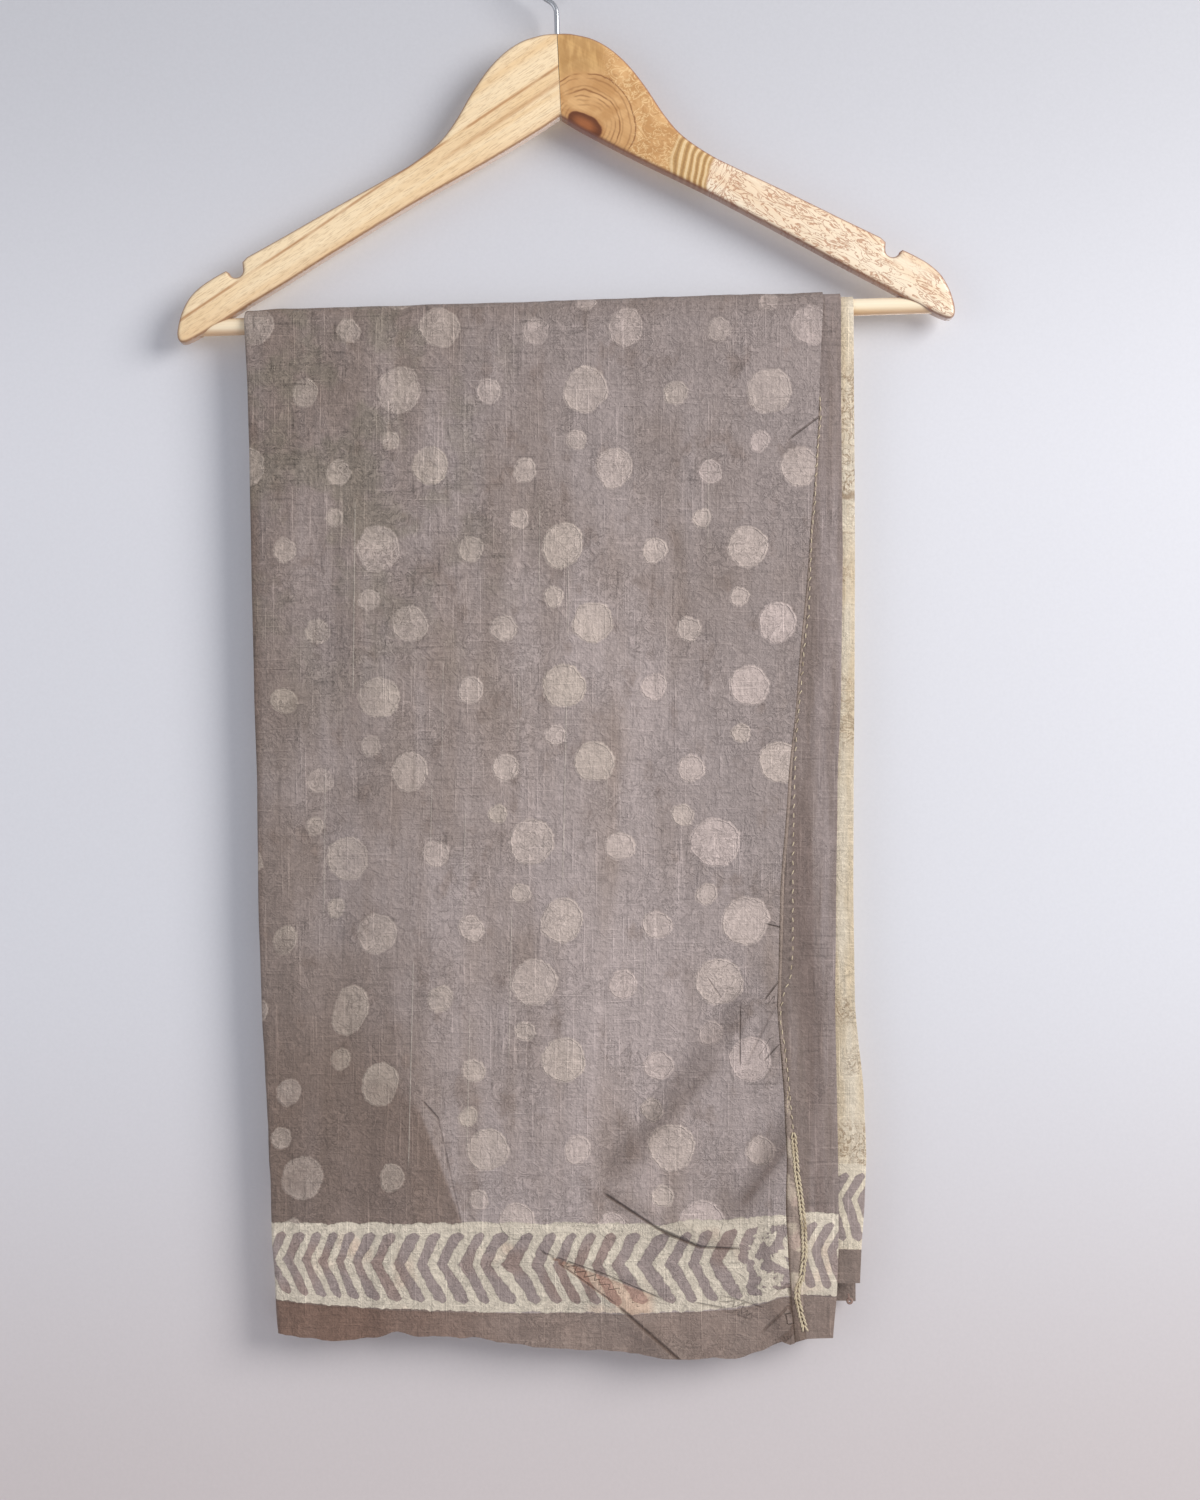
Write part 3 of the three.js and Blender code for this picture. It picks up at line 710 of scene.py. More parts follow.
# Colours of the cloth as they look in even light
LILAC_GREY = (158, 145, 141)
TAUPE = (140, 125, 117)
FOLD_BROWN = (116, 98, 87)
DOT_YELLOW = (192, 177, 162)
DOT_PINK = (198, 181, 174)
CREAM = (210, 198, 180)
CREAM_PINK = (216, 194, 174)
STROKE_GREY = (157, 142, 137)
STROKE_BROWN = (154, 133, 124)
SELVEDGE_BROWN = (126, 101, 88)
SELVEDGE_GREY = (150, 134, 125)
OLD_CREAM = (216, 203, 182)
CREAM_STAIN = (142, 116, 90)
STITCH_CREAM = (212, 196, 166)

# The border's strokes on each layer: where they turn, how far they lean, and how wide they are
OUTER_STROKES = {"vertex": 0.53, "lean_up": 0.94, "lean_down": 1.2, "width": 0.55, "ground": CREAM}
STRIP_STROKES = {"vertex": 0.56, "lean_up": 1.3, "lean_down": 0.87, "width": 0.58, "ground": CREAM}
END_STROKES = {"vertex": 0.58, "lean_up": 1.35, "lean_down": 0.95, "width": 0.62, "ground": OLD_CREAM}


def weave(n):
    """The light crinkled weave: its brightness, about 1, from the threads' own tone and from painted shade
    and highlights of the crinkles, and its height.
    """
    thread_up = n.streaks(1000, 60, 0, 2, 0.6)
    thread_over = n.streaks(60, 1000, 3, 2, 0.6)
    slub_up = n.streaks(600, 20, 7, 1).step(0.62, 0.74)
    slub_over = n.streaks(34, 560, 9, 1).step(0.62, 0.74)
    dark_up = n.streaks(420, 34, 13, 1).step(0.61, 0.75)
    dark_over = n.streaks(36, 440, 17, 1).step(0.62, 0.75)
    band_up = n.streaks(105, 9, 21, 3, 0.65)
    wrinkle = n.noise(150, 3, 0.6, 1.6)
    fine_wrinkle = n.noise(400, 2, 0.6, 1.2)
    where = n.noise(26).step(0.40, 0.60)
    # Thin dark crinkle lines of painted shade, with a painted highlight beside them
    line = wrinkle.near(0.5, 0.026) * where
    beside = wrinkle.near(0.54, 0.024) * where
    # The threads and slubs are the cloth's own tone; the wrinkle terms are painted shade and highlights
    light = 1.0 + thread_up.around(0.30)
    for share, amount in (
        (thread_over - 0.5, 0.26), (slub_up, 0.27), (slub_over, 0.18), (dark_up, -0.18),
        (dark_over, -0.16), (band_up - 0.5, 0.42), (line, -0.24), (fine_wrinkle.near(0.5, 0.045), -0.11),
        (fine_wrinkle - 0.5, 0.52), (wrinkle - 0.5, 0.38), (beside, 0.15),
    ):
        light += share * amount
    height = wrinkle + fine_wrinkle * 0.5 + (thread_up + thread_over) * 0.16
    return light, height + (slub_up + slub_over) * 0.14 - line * 0.12


def stroke_colours(n, strokes, height, shape):
    """Colour of the chevron border, and where it lies."""
    shake = n.noise(230)
    strokes += n.noise(52).around(0.34) + shake.around(0.20)
    strokes += n.noise(62, 3, 0.6, 0.5).around(2.6) * shape.get("messy", 0.0)
    edge = height + (n.noise(75).around(0.09) + shake.around(0.07))
    inside = edge.step(0.0, 0.012) * edge.step(1.0, 0.988)
    turn = shape["vertex"]
    above = (height - turn) * (shape["lean_up"] / (1 - turn))
    below = (turn - height) * (shape["lean_down"] / turn)
    off = abs(n.math("FRACT", strokes - n.most(above, below)) - 0.5)  # 0 in the middle of a stroke
    off += abs(height - 0.49).step(0.350, 0.440) * 0.5
    half = shape["width"] / 2
    paint = n.mix(n.noise(24, 1).step(0.50, 0.66), STROKE_GREY, STROKE_BROWN)
    ground = n.mix(n.noise(30).step(0.58, 0.74), shape["ground"], CREAM_PINK)
    ground = ground.lit(1.0 + n.noise(330, 2, 0.6).around(0.36))
    colour = ground.toward(paint, off.step(half + 0.025, half - 0.025))
    rims = off.near(half, 0.07) * 0.15 + edge.near(1.0, 0.03) * 0.16
    return colour.lit(1.0 - rims), inside


def selvedge_colour(n):
    """The plain dark strip below the border: browner at the left."""
    greyer = n.u.step(-0.12, 0.01) * 0.75 + n.noise(30).around(0.6)
    colour = n.mix(n.least(n.most(greyer, 0.0), 1.0), SELVEDGE_BROWN, SELVEDGE_GREY)
    return colour.lit(1.0 + n.noise(64, 4, 0.65, 0.8).around(0.42))


def add_border(n, colour, shape, selvedge=None):
    """The border and the selvedge over the ground, with where the border lies and its height."""
    strokes, height, _ = n.split(n.uv("band"))
    border, inside = stroke_colours(n, strokes, height, shape)
    below = height.step(0.0, -0.01) * (1.0 - inside)
    colour = colour.toward(border, inside).toward(selvedge or selvedge_colour(n), below)
    return colour, inside, height


def add_dots(n, colour):
    """Irregular pale dots over the ground, with slightly lighter rims."""
    distance, tint, _ = n.split(n.uv("dots"))
    rough = distance + (n.noise(80).around(4.6) + n.noise(380).around(2.2)) + n.noise(900, 1) * 0.4
    fresh = n.u.step(-0.13, 0.02) * n.v.step(0.0, -0.16)
    worn = 0.42 + fresh * 0.42 + n.noise(60, 3).around(0.9)
    rim = rough.near(-0.2, 0.7)
    pale = n.mix(tint, DOT_YELLOW, DOT_PINK).lit(1.0 + rim * 0.10)
    colour = colour.lit(1.0 - rough.near(1.4, 0.7) * 0.07)
    share = n.least(rough.step(1.3, 0.1) * n.most(worn, 0.15), 0.95)
    return colour.toward(pale, share), rim * worn


def finish_cloth(n, colour, light, relief, distance, strength):
    return n.finish(
        colour.lit(light), 0.62, (relief, distance, strength),
        Sheen_Weight=0.12, Sheen_Roughness=0.45, Specular_IOR_Level=0.28,
    )


def outer_material():
    n = Nodes("printed_cloth", cloth=True)
    across = n.u
    along = n.v
    light, relief = weave(n)
    light += 0.02

    tone = n.noise(10, 3, 0.55) * 0.55 + n.streaks(48, 4, 31) * 0.45 + across.step(-0.15, 0.06) * 0.10
    colour = n.mix(tone.step(0.40, 0.66), TAUPE, LILAC_GREY)
    # The tone map: painted shade at the left fold and over the bar, broad tone that is partly painted light,
    # and the painted shade of soft troughs
    tone, soft, _ = n.split(n.uv("tone"))
    in_tuck, off_pleat, _ = n.split(n.uv("folds"))
    low_left = off_pleat.step(1.0, -1.0) * along.step(-0.36, -0.47)
    colour = colour.toward(FOLD_BROWN, n.most(low_left * 0.74, n.most(tone, 0.0)))
    colour = colour.lit(1.0 + n.most(0.0 - tone, 0.0))
    leftward = across.step(0.03, -0.10) * along.step(-0.30, -0.12)
    olive = n.noise(24, 3, 0.6).step(0.46, 0.60) * leftward
    colour = colour.toward((128, 120, 104), olive * 0.45)
    light = 1.0 + (light - 1.0) * (1.0 + leftward * 0.45)
    worn_brown = n.streaks(62, 40, 41, 3, 0.6).step(0.55, 0.70)
    colour = colour.toward(FOLD_BROWN, worn_brown * 0.36)
    colour, rims = add_dots(n, colour)

    crumpled = across.step(0.098, 0.116) * along.step(0.0, -0.01)
    colour, inside, height = add_border(n, colour, {**OUTER_STROKES, "messy": crumpled})

    in_tuck = in_tuck.step(-0.4, 0.4) * inside * across.step(0.060, 0.052)
    colour = colour.toward((192, 138, 108), in_tuck * 0.40)
    # Painted shade in the soft troughs beside the creases
    colour = colour.toward((84, 68, 58), soft * (1.0 + n.noise(55).around(0.7)))
    # Painted shade in the creases, darker brown along each line
    off, strength, _ = n.split(n.uv("creases"))
    dark = abs(off).step(1.0, 0.0) * (strength * 1.25)
    colour = colour.toward((76, 52, 38), dark)
    off, strength, _ = n.split(n.uv("threads"))
    pale = abs(off).step(1.0, 0.0) * strength
    colour = colour.toward((205, 193, 180), pale)

    edge = abs(height).step(0.03, 0.0) * 0.35
    relief = relief - dark * 1.4 + (edge * 0.5 + pale * 0.3) + rims * 0.35
    return finish_cloth(n, colour, light, relief, 0.0016, 0.9)


def inner_material():
    n = Nodes("inner_cloth", cloth=True)
    light, relief = weave(n)
    light *= 1.0 - n.v.step(-0.566, -0.576) * 0.09
    browner = (n.u + n.noise(60).around(0.006)).step(0.150, 0.141)
    tone = n.streaks(120, 9, 5, 3, 0.6).step(0.30, 0.70) - browner * 0.5
    colour = n.mix(n.most(tone, 0.0), (130, 115, 108), (154, 140, 136))
    # Painted shade of fine folds down the strip
    fold = n.streaks(78, 4.5, 15).step(0.50, 0.64)
    colour = colour.toward((112, 94, 88), fold * 0.42)
    colour = colour.toward((128, 112, 103), n.v.step(-0.36, -0.50) * 0.35)
    colour, _, _ = add_border(n, colour, STRIP_STROKES)
    return finish_cloth(n, colour, light, relief, 0.0011, 0.7)


def end_material():
    n = Nodes("cream_cloth", cloth=True)
    along = n.v
    light, relief = weave(n)
    colour = n.mix(n.streaks(90, 14, 2, 3).step(0.40, 0.66), OLD_CREAM, (206, 188, 160))
    vein = n.noise(95, 4, 0.65, 1.6)
    high_stain = along.step(-0.036, -0.052) * along.step(-0.128, -0.112)
    low_stain = along.step(-0.208, -0.222) * along.step(-0.268, -0.248)
    hem_stain = along.step(-0.466, -0.480) * along.step(-0.508, -0.498)
    stained = n.most(n.most(high_stain, hem_stain), low_stain * 0.7)
    stained = n.most(stained, n.noise(15).step(0.54, 0.66))
    # Veins of wear, a dark blot, and painted shade in a crease across the strip
    wobble = along + n.noise(190).around(0.007)
    blot = wobble.near(-0.1165, 0.0030, 0.0006)
    crease = wobble.near(-0.1380, 0.0012)
    veins = n.most(vein.near(0.5, 0.042, 0.008) * stained, n.most(blot, crease * 0.6))
    colour = colour.toward(CREAM_STAIN, veins * 0.74)
    colour = colour.toward(CREAM_STAIN, stained * (vein.step(0.52, 0.62) * 0.20))
    colour, _, _ = add_border(n, colour, END_STROKES, selvedge=(132, 116, 107))
    return finish_cloth(n, colour, light, relief, 0.0011, 0.7)


def hem_material():
    n = Nodes("hem_cloth", cloth=True)
    along = n.v
    light, relief = weave(n)
    # The print of the turned edge, which alternates down the hem
    slant = along * 250.0 + n.u * 170.0
    patch = n.math("SINE", slant + n.noise(120).around(6.0)).step(-0.5, 0.5)
    printed = along.step(-0.455, -0.472) * along.step(-0.578, -0.572)
    pale = n.mix(n.noise(60, 1).step(0.45, 0.6), (200, 184, 164), (186, 164, 150))
    colour = n.mix(along.step(-0.566, -0.576), (150, 133, 122), (124, 106, 95))
    colour = colour.toward(pale, patch * printed * 0.85)
    edge_across, _, _ = n.split(n.uv("hem"))
    # Painted shade along both edges of the strip, in the gaps beside it
    dark = n.most(edge_across.step(0.22, 0.0), edge_across.step(0.86, 1.0) * 0.6)
    colour = colour.toward((92, 74, 60), dark * 0.75).lit(light)
    return n.finish(colour, 0.66, (relief, 0.0012, 0.8), Sheen_Weight=0.12, Specular_IOR_Level=0.28)


def thread_material():
    n = Nodes("stitching")
    twist = n.noise(1800, 1)
    worn = n.noise(90).step(0.5, 0.68)
    colour = n.mix(worn * 0.6, STITCH_CREAM, (150, 128, 100)).lit(0.94 + twist.around(0.35))
    return n.finish(colour, 0.55, (twist, 0.0003, 0.8), Specular_IOR_Level=0.35)


def knot_material():
    n = Nodes("knot_thread")
    twist = n.noise(1500)
    colour = n.mix(twist, (112, 86, 78), (168, 142, 130))
    return n.finish(colour, 0.6, (twist, 0.0004, 0.8), Specular_IOR_Level=0.3)


def grain(n, seed):
    """Fine and broad grain of a plank, along u and across v: two values about 0.5."""
    return n.streaks(26, 900, seed, 2, 0.6), n.streaks(7, 120, seed + 3, 2, 0.5, 0.4)


def turned(x, z, degrees):
    """Coordinates along and across a plank that lies at this angle."""
    c = math.cos(math.radians(degrees))
    s = math.sin(math.radians(degrees))
    return x * c + z * s, z * c - x * s


def varnish(n, colour, fine, broad, pores, edge_shade_colour):
    """Lacquered wood, with painted shade on its rounded edges."""
    light = 1.05 + (fine.around(0.24) + broad.around(0.06)) - pores * 0.10
    _, facing, _ = n.split(n.coordinates("Normal"))
    # Painted shade on the rounded edges, by how far they turn from the front
    colour = colour.lit(light).toward(edge_shade_colour, abs(facing).step(0.96, 0.60) * 0.8)
    bumps = (fine * 0.5 + pores * -0.5, 0.0005, 0.5)
    return n.finish(colour, 0.34, bumps, Coat_Weight=0.3, Coat_Roughness=0.18, Specular_IOR_Level=0.35)


def left_arm_material():
    n = Nodes("arm_wood_left")
    x, y, z = n.split(n.place)
    n.u, n.v = turned(x, z, 34)
    n.v += y * 0.25
    fine, broad = grain(n, 1)
    pores = n.streaks(150, 1500, 4, 2, 0.6).step(0.50, 0.66)
    colour = n.mix(broad.step(0.30, 0.74), (246, 222, 184), (233, 200, 154))
    lower = (z - x * 0.59 + broad.around(0.006)).step(-0.1005, -0.1075)
    colour = colour.toward((214, 170, 120), lower * 0.35)
    # A long thin brown vein down the arm, and a broader one near the joint
    bend = n.streaks(9, 0, 5, 1).around(0.012)
    broken = n.streaks(30, 0, 9, 1).step(0.36, 0.52)
    vein = abs(n.v + 0.0665 + bend * 0.25).step(0.0013, 0.0)
    colour = colour.toward((176, 122, 76), vein * 0.8 * broken)
    second = abs(n.v + 0.0740 + bend * 0.3).step(0.0024, 0.0) * x.step(-0.075, -0.045)
    colour = colour.toward((182, 132, 86), second * 0.5)
    colour = colour.toward((196, 146, 98), pores * 0.22)
    return varnish(n, colour, fine, broad, pores, (148, 102, 74))


# The right arm's knot: its middle, and the rings round it as radius in metres and strength
KNOT = {"x": 0.0175, "z": -0.1105, "lean": -29}
RINGS = (
    (0.0120, 0.40), (0.0145, 0.35), (0.0168, 0.60), (0.0196, 0.80), (0.0214, 0.35),
    (0.0262, 0.45), (0.0288, 0.85),
)
# Stripes of the right arm, along it in metres, and how close they are
STRIPES = {"start": 0.120, "end": 0.146, "turns": 1500.0}


def right_arm_material():
    n = Nodes("arm_wood_right")
    x, y, z = n.split(n.place)
    n.u, n.v = turned(x, z, -31)
    n.place = n.join(x, y * 0.4, z)
    fine, broad = grain(n, 11)
    # Fine broken rings round a dark knot at the lower edge beside the joint
    onward, off = turned(x - KNOT["x"], z - KNOT["z"], KNOT["lean"])
    wander = n.noise(40, 3, 0.6).around(0.008)
    ring = n.hypot(onward, off) + wander
    golden = n.mix(n.noise(48, 3, 0.6, 0.8).step(0.36, 0.66), (190, 142, 90), (214, 169, 116))
    strands = n.noise(1, 2, 0.6, at=n.join(x * 260, z * 60, 3)).step(0.42, 0.64)
    outside = ring.step(0.027, 0.034) * x.step(0.036, 0.022)
    golden = golden.toward(n.mix(strands, (174, 134, 80), (208, 168, 108)), outside * 0.6)
    broken = n.noise(85).step(0.32, 0.50)
    for radius, strength in RINGS:
        golden = golden.toward((132, 84, 46), ring.near(radius, 0.0008) * broken * strength)
    curl = n.noise(130, 3, 0.6, 2.0)
    curled = ring.step(0.026, 0.031) * x.step(0.026, 0.034)
    golden = golden.toward((240, 208, 156), curl.near(0.5, 0.045) * curled * 0.6)
    golden = golden.toward((156, 110, 66), curl.near(0.60, 0.025) * curled * 0.4)
    knot_ring = n.hypot(onward * 0.60, off) + wander * 0.6
    golden = golden.toward((160, 102, 56), knot_ring.step(0.0085, 0.0062) * 0.4)
    inside_knot = n.mix(knot_ring.step(0.0055, 0.0020), (92, 42, 20), (150, 86, 48))
    golden = golden.toward(inside_knot, knot_ring.step(0.0066, 0.0058) * 0.92)
    # Farther out the wood is pale and pinkish, with a few curved stripes where the two meet
    pale = n.mix(broad.step(0.30, 0.74), (243, 226, 200), (234, 208, 176))
    off_middle = n.v + 0.068
    reach = n.u - off_middle * off_middle * 22.0 + n.noise(30).around(0.008)
    far = reach.step(STRIPES["end"] - 0.002, STRIPES["end"] + 0.001)
    colour = golden.toward(pale, far)
    stripes = n.math("SINE", reach * STRIPES["turns"] + n.noise(60).around(3.0))
    in_stripes = reach.step(STRIPES["start"], STRIPES["start"] + 0.004) * (1.0 - far)
    colour = colour.toward((178, 142, 88), in_stripes * 0.6)
    colour = colour.toward((232, 204, 158), in_stripes * (stripes.step(0.1, 0.7) * 0.75))
    colour = colour.toward((150, 110, 66), in_stripes * (stripes.step(-0.3, -0.9) * 0.6))
    # Small flecks, across the wood by the stripes and lengthwise beyond
    outward = reach.step(0.152, 0.166)
    across_it = n.streaks(340, 100, 6, 2, 0.6, 1.2) * (1.0 - outward)
    flecks = (across_it + n.streaks(95, 330, 2, 2, 0.6, 1.2) * outward).near(0.5, 0.050, 0.010)
    flecks = flecks * far * n.noise(46).step(0.26, 0.46)
    colour = colour.toward((186, 128, 94), flecks * 0.72)
    return varnish(n, colour, fine, broad, flecks, (142, 92, 74))


def bar_material():
    n = Nodes("bar_wood")
    x, y, z = n.split(n.place)
    n.u = x
    n.v = z + y * 0.7
    fine, broad = grain(n, 7)
    colour = n.mix(broad.step(0.36, 0.68), (248, 232, 204), (238, 212, 172))
    _, _, upward = n.split(n.coordinates("Normal"))
    # Painted shade on the underside of the bar
    colour = colour.toward((208, 152, 104), upward.step(-0.2, -0.9) * 0.6)
    colour = colour.lit(1.0 + (fine.around(0.16) + broad.around(0.06)))
    return n.finish(colour, 0.42, (fine, 0.0003, 0.3), Specular_IOR_Level=0.4)


def steel_material():
    n = Nodes("hook_steel")
    x, y, z = n.split(n.place)
    drawn = n.noise(1, at=n.join(x * 900, y * 900, z * 60))
    colour = n.mix(drawn, (176, 178, 182), (206, 208, 212))
    return n.finish(colour, 0.20 + drawn * 0.16, (drawn, 0.0002, 0.3), Metallic=1.0)


# Meshes of the cloth

def make_object(name, points, faces, material):
    """A mesh from points in millimetres."""
    mesh = bpy.data.meshes.new(name)
    mesh.from_pydata((np.asarray(points) * MM).tolist(), [], faces)
    mesh.materials.append(material)
    made = bpy.data.objects.new(name, mesh)
    bpy.context.scene.collection.objects.link(made)
    return made


def shade(made, sharp_above=50):
    for polygon in made.data.polygons:
        polygon.use_smooth = True
    made.data.set_sharp_from_angle(angle=math.radians(sharp_above))
    return made


def add_uv(made, name, values):
    """A UV map from one pair of values for each vertex."""
    layer = made.data.uv_layers.new(name=name, do_init=False)
    corners = np.zeros(len(made.data.loops), np.int32)
    made.data.loops.foreach_get("vertex_index", corners)
    layer.data.foreach_set("uv", np.asarray(values, np.float32)[corners].ravel())


def shell_faces(down, over, start):
    """Quads of a closed thin shell on a grid: both sides and the rim."""
    top = start + np.arange(down * over).reshape(down, over)
    under = top + down * over
    quads = (
        (top[:-1, :-1], top[:-1, 1:], top[1:, 1:], top[1:, :-1]),
        (under[:-1, :-1], under[1:, :-1], under[1:, 1:], under[:-1, 1:]),
        (under[:-1, 0], top[:-1, 0], top[1:, 0], under[1:, 0]),
        (top[:-1, -1], under[:-1, -1], under[1:, -1], top[1:, -1]),
        (under[0, :-1], under[0, 1:], top[0, 1:], top[0, :-1]),
        (top[-1, :-1], top[-1, 1:], under[-1, 1:], under[-1, :-1]),
    )
    return [face for corners in quads for face in np.stack(corners, axis=-1).reshape(-1, 4).tolist()]


def cloth_piece(name, layers, material, band, fields=None):
    """A piece of cloth from its layers. Each has its rows, and line(row) gives, across it, the
    place, the level, and the distance across the flat cloth."""
    points = []
    faces = []
    flat_places = []  # across and along the flat cloth, and the share of its width
    for layer in layers:
        lines = [layer["line"](row) for row in layer["rows"]]
        draped = [
            drape(x, level, row, layer.get("creases"))
            for row, (x, level, _) in zip(layer["rows"], lines)
        ]
        middle = np.array([row_points for row_points, _ in draped])
        along = np.array([row_along for _, row_along in draped])
        across = np.array([flat for _, _, flat in lines])
        outward = np.cross(np.gradient(middle, axis=1), np.gradient(middle, axis=0))
        outward /= np.linalg.norm(outward, axis=2, keepdims=True)
        middle = middle + outward * layer["ripple"](across, along)[..., None]
        half = outward * THICKNESS / 2
        faces += shell_faces(*along.shape, sum(len(p) for p in points))
        points += [(middle + half).reshape(-1, 3), (middle - half).reshape(-1, 3)]
        share = (across - across.min(axis=1, keepdims=True)) / np.ptp(across, axis=1)[:, None]
        flat_places += [np.stack([across, along, share], axis=-1).reshape(-1, 3)] * 2
    across, along, share = np.concatenate(flat_places).T
    made = make_object(name, np.concatenate(points), faces, material)
    add_uv(made, "cloth", np.stack([across, along], axis=1) * MM)
    add_uv(made, "band", np.stack(band(across, along), axis=1))
    if fields is None:
        add_uv(made, "hem", np.stack([share, along * 0], axis=1))
    else:
        for field, values in fields(across, along).items():
            add_uv(made, field, np.stack(values, axis=1))
    return shade(made)


def turn_back(centre, near, far, steps, side):
    """Points of a half turn between two levels, at the left (-1) or right (+1) edge."""
    angle = np.linspace(0, math.pi, steps + 2)[1:-1]
    radius = (near - far) / 2
    x = centre + side * abs(radius) * np.sin(angle)
    level = (near + far) / 2 + radius * np.cos(angle)
    return x, level, abs(radius) * angle


def outer_line(row):
    """Back inside from the left fold, round it, and over the front to the right edge."""
    e = row_edges(row)
    near = LEVELS["return"]
    far = LEVELS["outer"]
    inside = np.linspace(e["inner_end"], e["centre"], OUTER_GRID["return"] + 1)
    outside = np.linspace(e["centre"], e["outer"], OUTER_GRID["across"] + 1)
    turn_x, turn_level, turn_run = turn_back(e["centre"], near, far, OUTER_GRID["turn"], -1)
    half_turn = math.pi * (far - near) / 2
    x = np.concatenate([inside, turn_x, outside])
    level = np.concatenate([inside * 0 + near, turn_level, outside * 0 + far])
    flat = np.concatenate([
        2 * e["centre"] - inside - half_turn, e["centre"] - half_turn + turn_run, outside,
    ])
    return x, level, flat


def outer_ripple(across, along):
    """The small unevenness of the outer layer, always outwards."""
    high = 0.42 * soft_noise(across, along, 18, 3) + 0.30 * soft_noise(across, along, 9, 4)
    high += 0.16 * soft_noise(across * 1.6, along * 0.5, 9, 5)
    shown = smooth_step((across + 172) / 12)
    return (0.5 + high * 0.62) * shown


def soft_ripple(seed, amount):
    def ripple(across, along):
        broad = soft_noise(across, along, 15, seed)
        return amount * (0.7 * broad + 0.3 * soft_noise(across, along, 7, seed + 1))
    return ripple


def leaf_line(first, last, upper, lower, inset, steps):
    """A layer that comes from the left, turns back at its right edge and returns below."""
    def line(row):
        e = row_edges(row)
        left = e[first] + (FIT if first == "inner_end" else LEAF_INSET)
        right = e[last] - inset - (upper - lower) / 2
        there = np.linspace(left, right, steps + 1)
        turn_x, turn_level, turn_run = turn_back(right, upper, lower, INNER_GRID["turn"], 1)
        x = np.concatenate([there, turn_x, there[::-1]])
        level = np.concatenate([there * 0 + upper, turn_level, there * 0 + lower])
        half_turn = math.pi * (upper - lower) / 2
        flat = np.concatenate([there, right + turn_run, 2 * right + half_turn - there[::-1]])
        return x, level, flat
    return line


def hem_line(row):
    """A narrow puffed strip beside the outer layer's edge."""
    e = row_edges(row)
    share = np.linspace(0, 1, HEM["points"])
    width = e["hem"] - e["outer"]
    x = e["outer"] + HEM["gap"] + (width - HEM["gap"]) * share
    puff = min(HEM["puff"] * width, HEM["most"]) * np.sin(math.pi * share)
    return x, LEVELS["outer"] + HEM["above"] + puff, x


def outer_fields(across, along):
    return {"dots": dot_field(across, along), **fold_fields(across, along)}


def make_outer(material):
    layer = {
        "rows": drape_rows(OUTER_GRID), "line": outer_line, "creases": OUTER_CREASES,
        "ripple": outer_ripple,
    }
    return cloth_piece("cloth_outer", [layer], material, outer_band, outer_fields)


def make_inner(material):
    layers = []
    for i, leaf in enumerate(rows_of(INNER_LEVELS)):
        levels = (leaf["upper"], leaf["lower"], leaf["inset"])
        layers.append({
            "rows": drape_rows(INNER_GRID, short=(leaf["short"], leaf["short"])),
            "line": leaf_line("centre", "strip", *levels, INNER_GRID["across"]),
            "ripple": soft_ripple(40 + i, 0.07),
        })
    return cloth_piece("cloth_inner_folds", layers, material, partial(plain_band, STRIP_BAND))


def make_end(material):
    layer = {
        "rows": drape_rows(INNER_GRID, short=(END_LAYER_SHORT["front"], END_LAYER_SHORT["back"])),
        "line": leaf_line("inner_end", "end", LEVELS["end"], LEVELS["end_back"], 0.0, END_ACROSS),
        "ripple": soft_ripple(60, 0.06),
    }
    return cloth_piece("cloth_end", [layer], material, partial(plain_band, END_BAND))


def make_hem(material):
    layer = {
        "rows": drape_rows({"front": HEM_ROWS}, top_share=HEM_TOP_SHARE), "line": hem_line,
        "ripple": soft_ripple(80, 0.12),
    }
    return cloth_piece("cloth_hem", [layer], material, outer_band)


# Stitching

SEAM = table(
    "x z",
    (151.3, -264.4), (151.9, -276.9), (150.2, -293.4), (149.1, -311.6), (148.5, -328.1),
    (146.8, -341.7), (145.1, -388.9), (142.8, -405.4), (140.8, -429.8), (138.8, -449.1),
    (137.7, -463.9), (136.6, -498.0), (136.0, -534.9), (136.0, -582.1), (134.6, -595.8),
    (130.3, -607.1), (128.6, -619.6), (131.2, -634.4), (133.1, -650.9), (134.6, -667.4),
    (135.8, -679.0), (136.8, -692.4), (138.3, -708.8), (140.2, -720.8), (142.2, -738.4),
    (142.7, -752.0), (141.1, -766.8), (138.8, -771.7), (138.3, -777.6), (140.5, -787.3),
    (143.1, -796.9),
)
CHAIN_FROM = -684  # below this the seam is a thick twisted chain
SECOND_SEAM = table("x z", (132.9, -661.7), (132.9, -674.7))
# Stitches: their step down the seam, length, radius, height over the outer layer, and turn
HAND_STITCH = {"step": 2.7, "length": 2.2, "radius": (0.32, 0.32), "above": 0.85, "turn": (-0.5, 0.2)}
CHAIN_STITCH = {"length": 3.3, "radius": (0.50, 0.62), "above": 1.15, "turn": 0.3, "aside": 0.95}
SECOND_STITCH = {"step": 2.6, "length": 1.8, "radius": (0.28, 0.28), "above": 0.5, "turn": (-0.3, 0.3)}
# The rings of a stitch from end to end: the end they are near, how far beyond it, and how wide
STITCH_RINGS = ((0, -0.4, 0.55), (0, 0.3, 0.95), (0.5, 0, 1.0), (1, -0.3, 0.95), (1, 0.4, 0.55))


def cloth_front(x, z, level):
    """The front surface of the cloth at one place, above a level."""
    out = hang_out(np.array([float(x)]), np.array([float(z)]), level, FRONT_FOLDS)
    return float(-out[0])


def ring_of(centre, one, two, radius, sides):
    """Points of a circle round a centre."""
    angles = [2 * math.pi * k / sides for k in range(sides)]
    return [centre + (one * math.cos(a) + two * math.sin(a)) * radius for a in angles]


def ring_faces(start, following, sides):
    """Quads between the ring of points that begins at start and the next one."""
    turns = [(k, (k + 1) % sides) for k in range(sides)]
    return [(start + a, start + b, following + b, following + a) for a, b in turns]


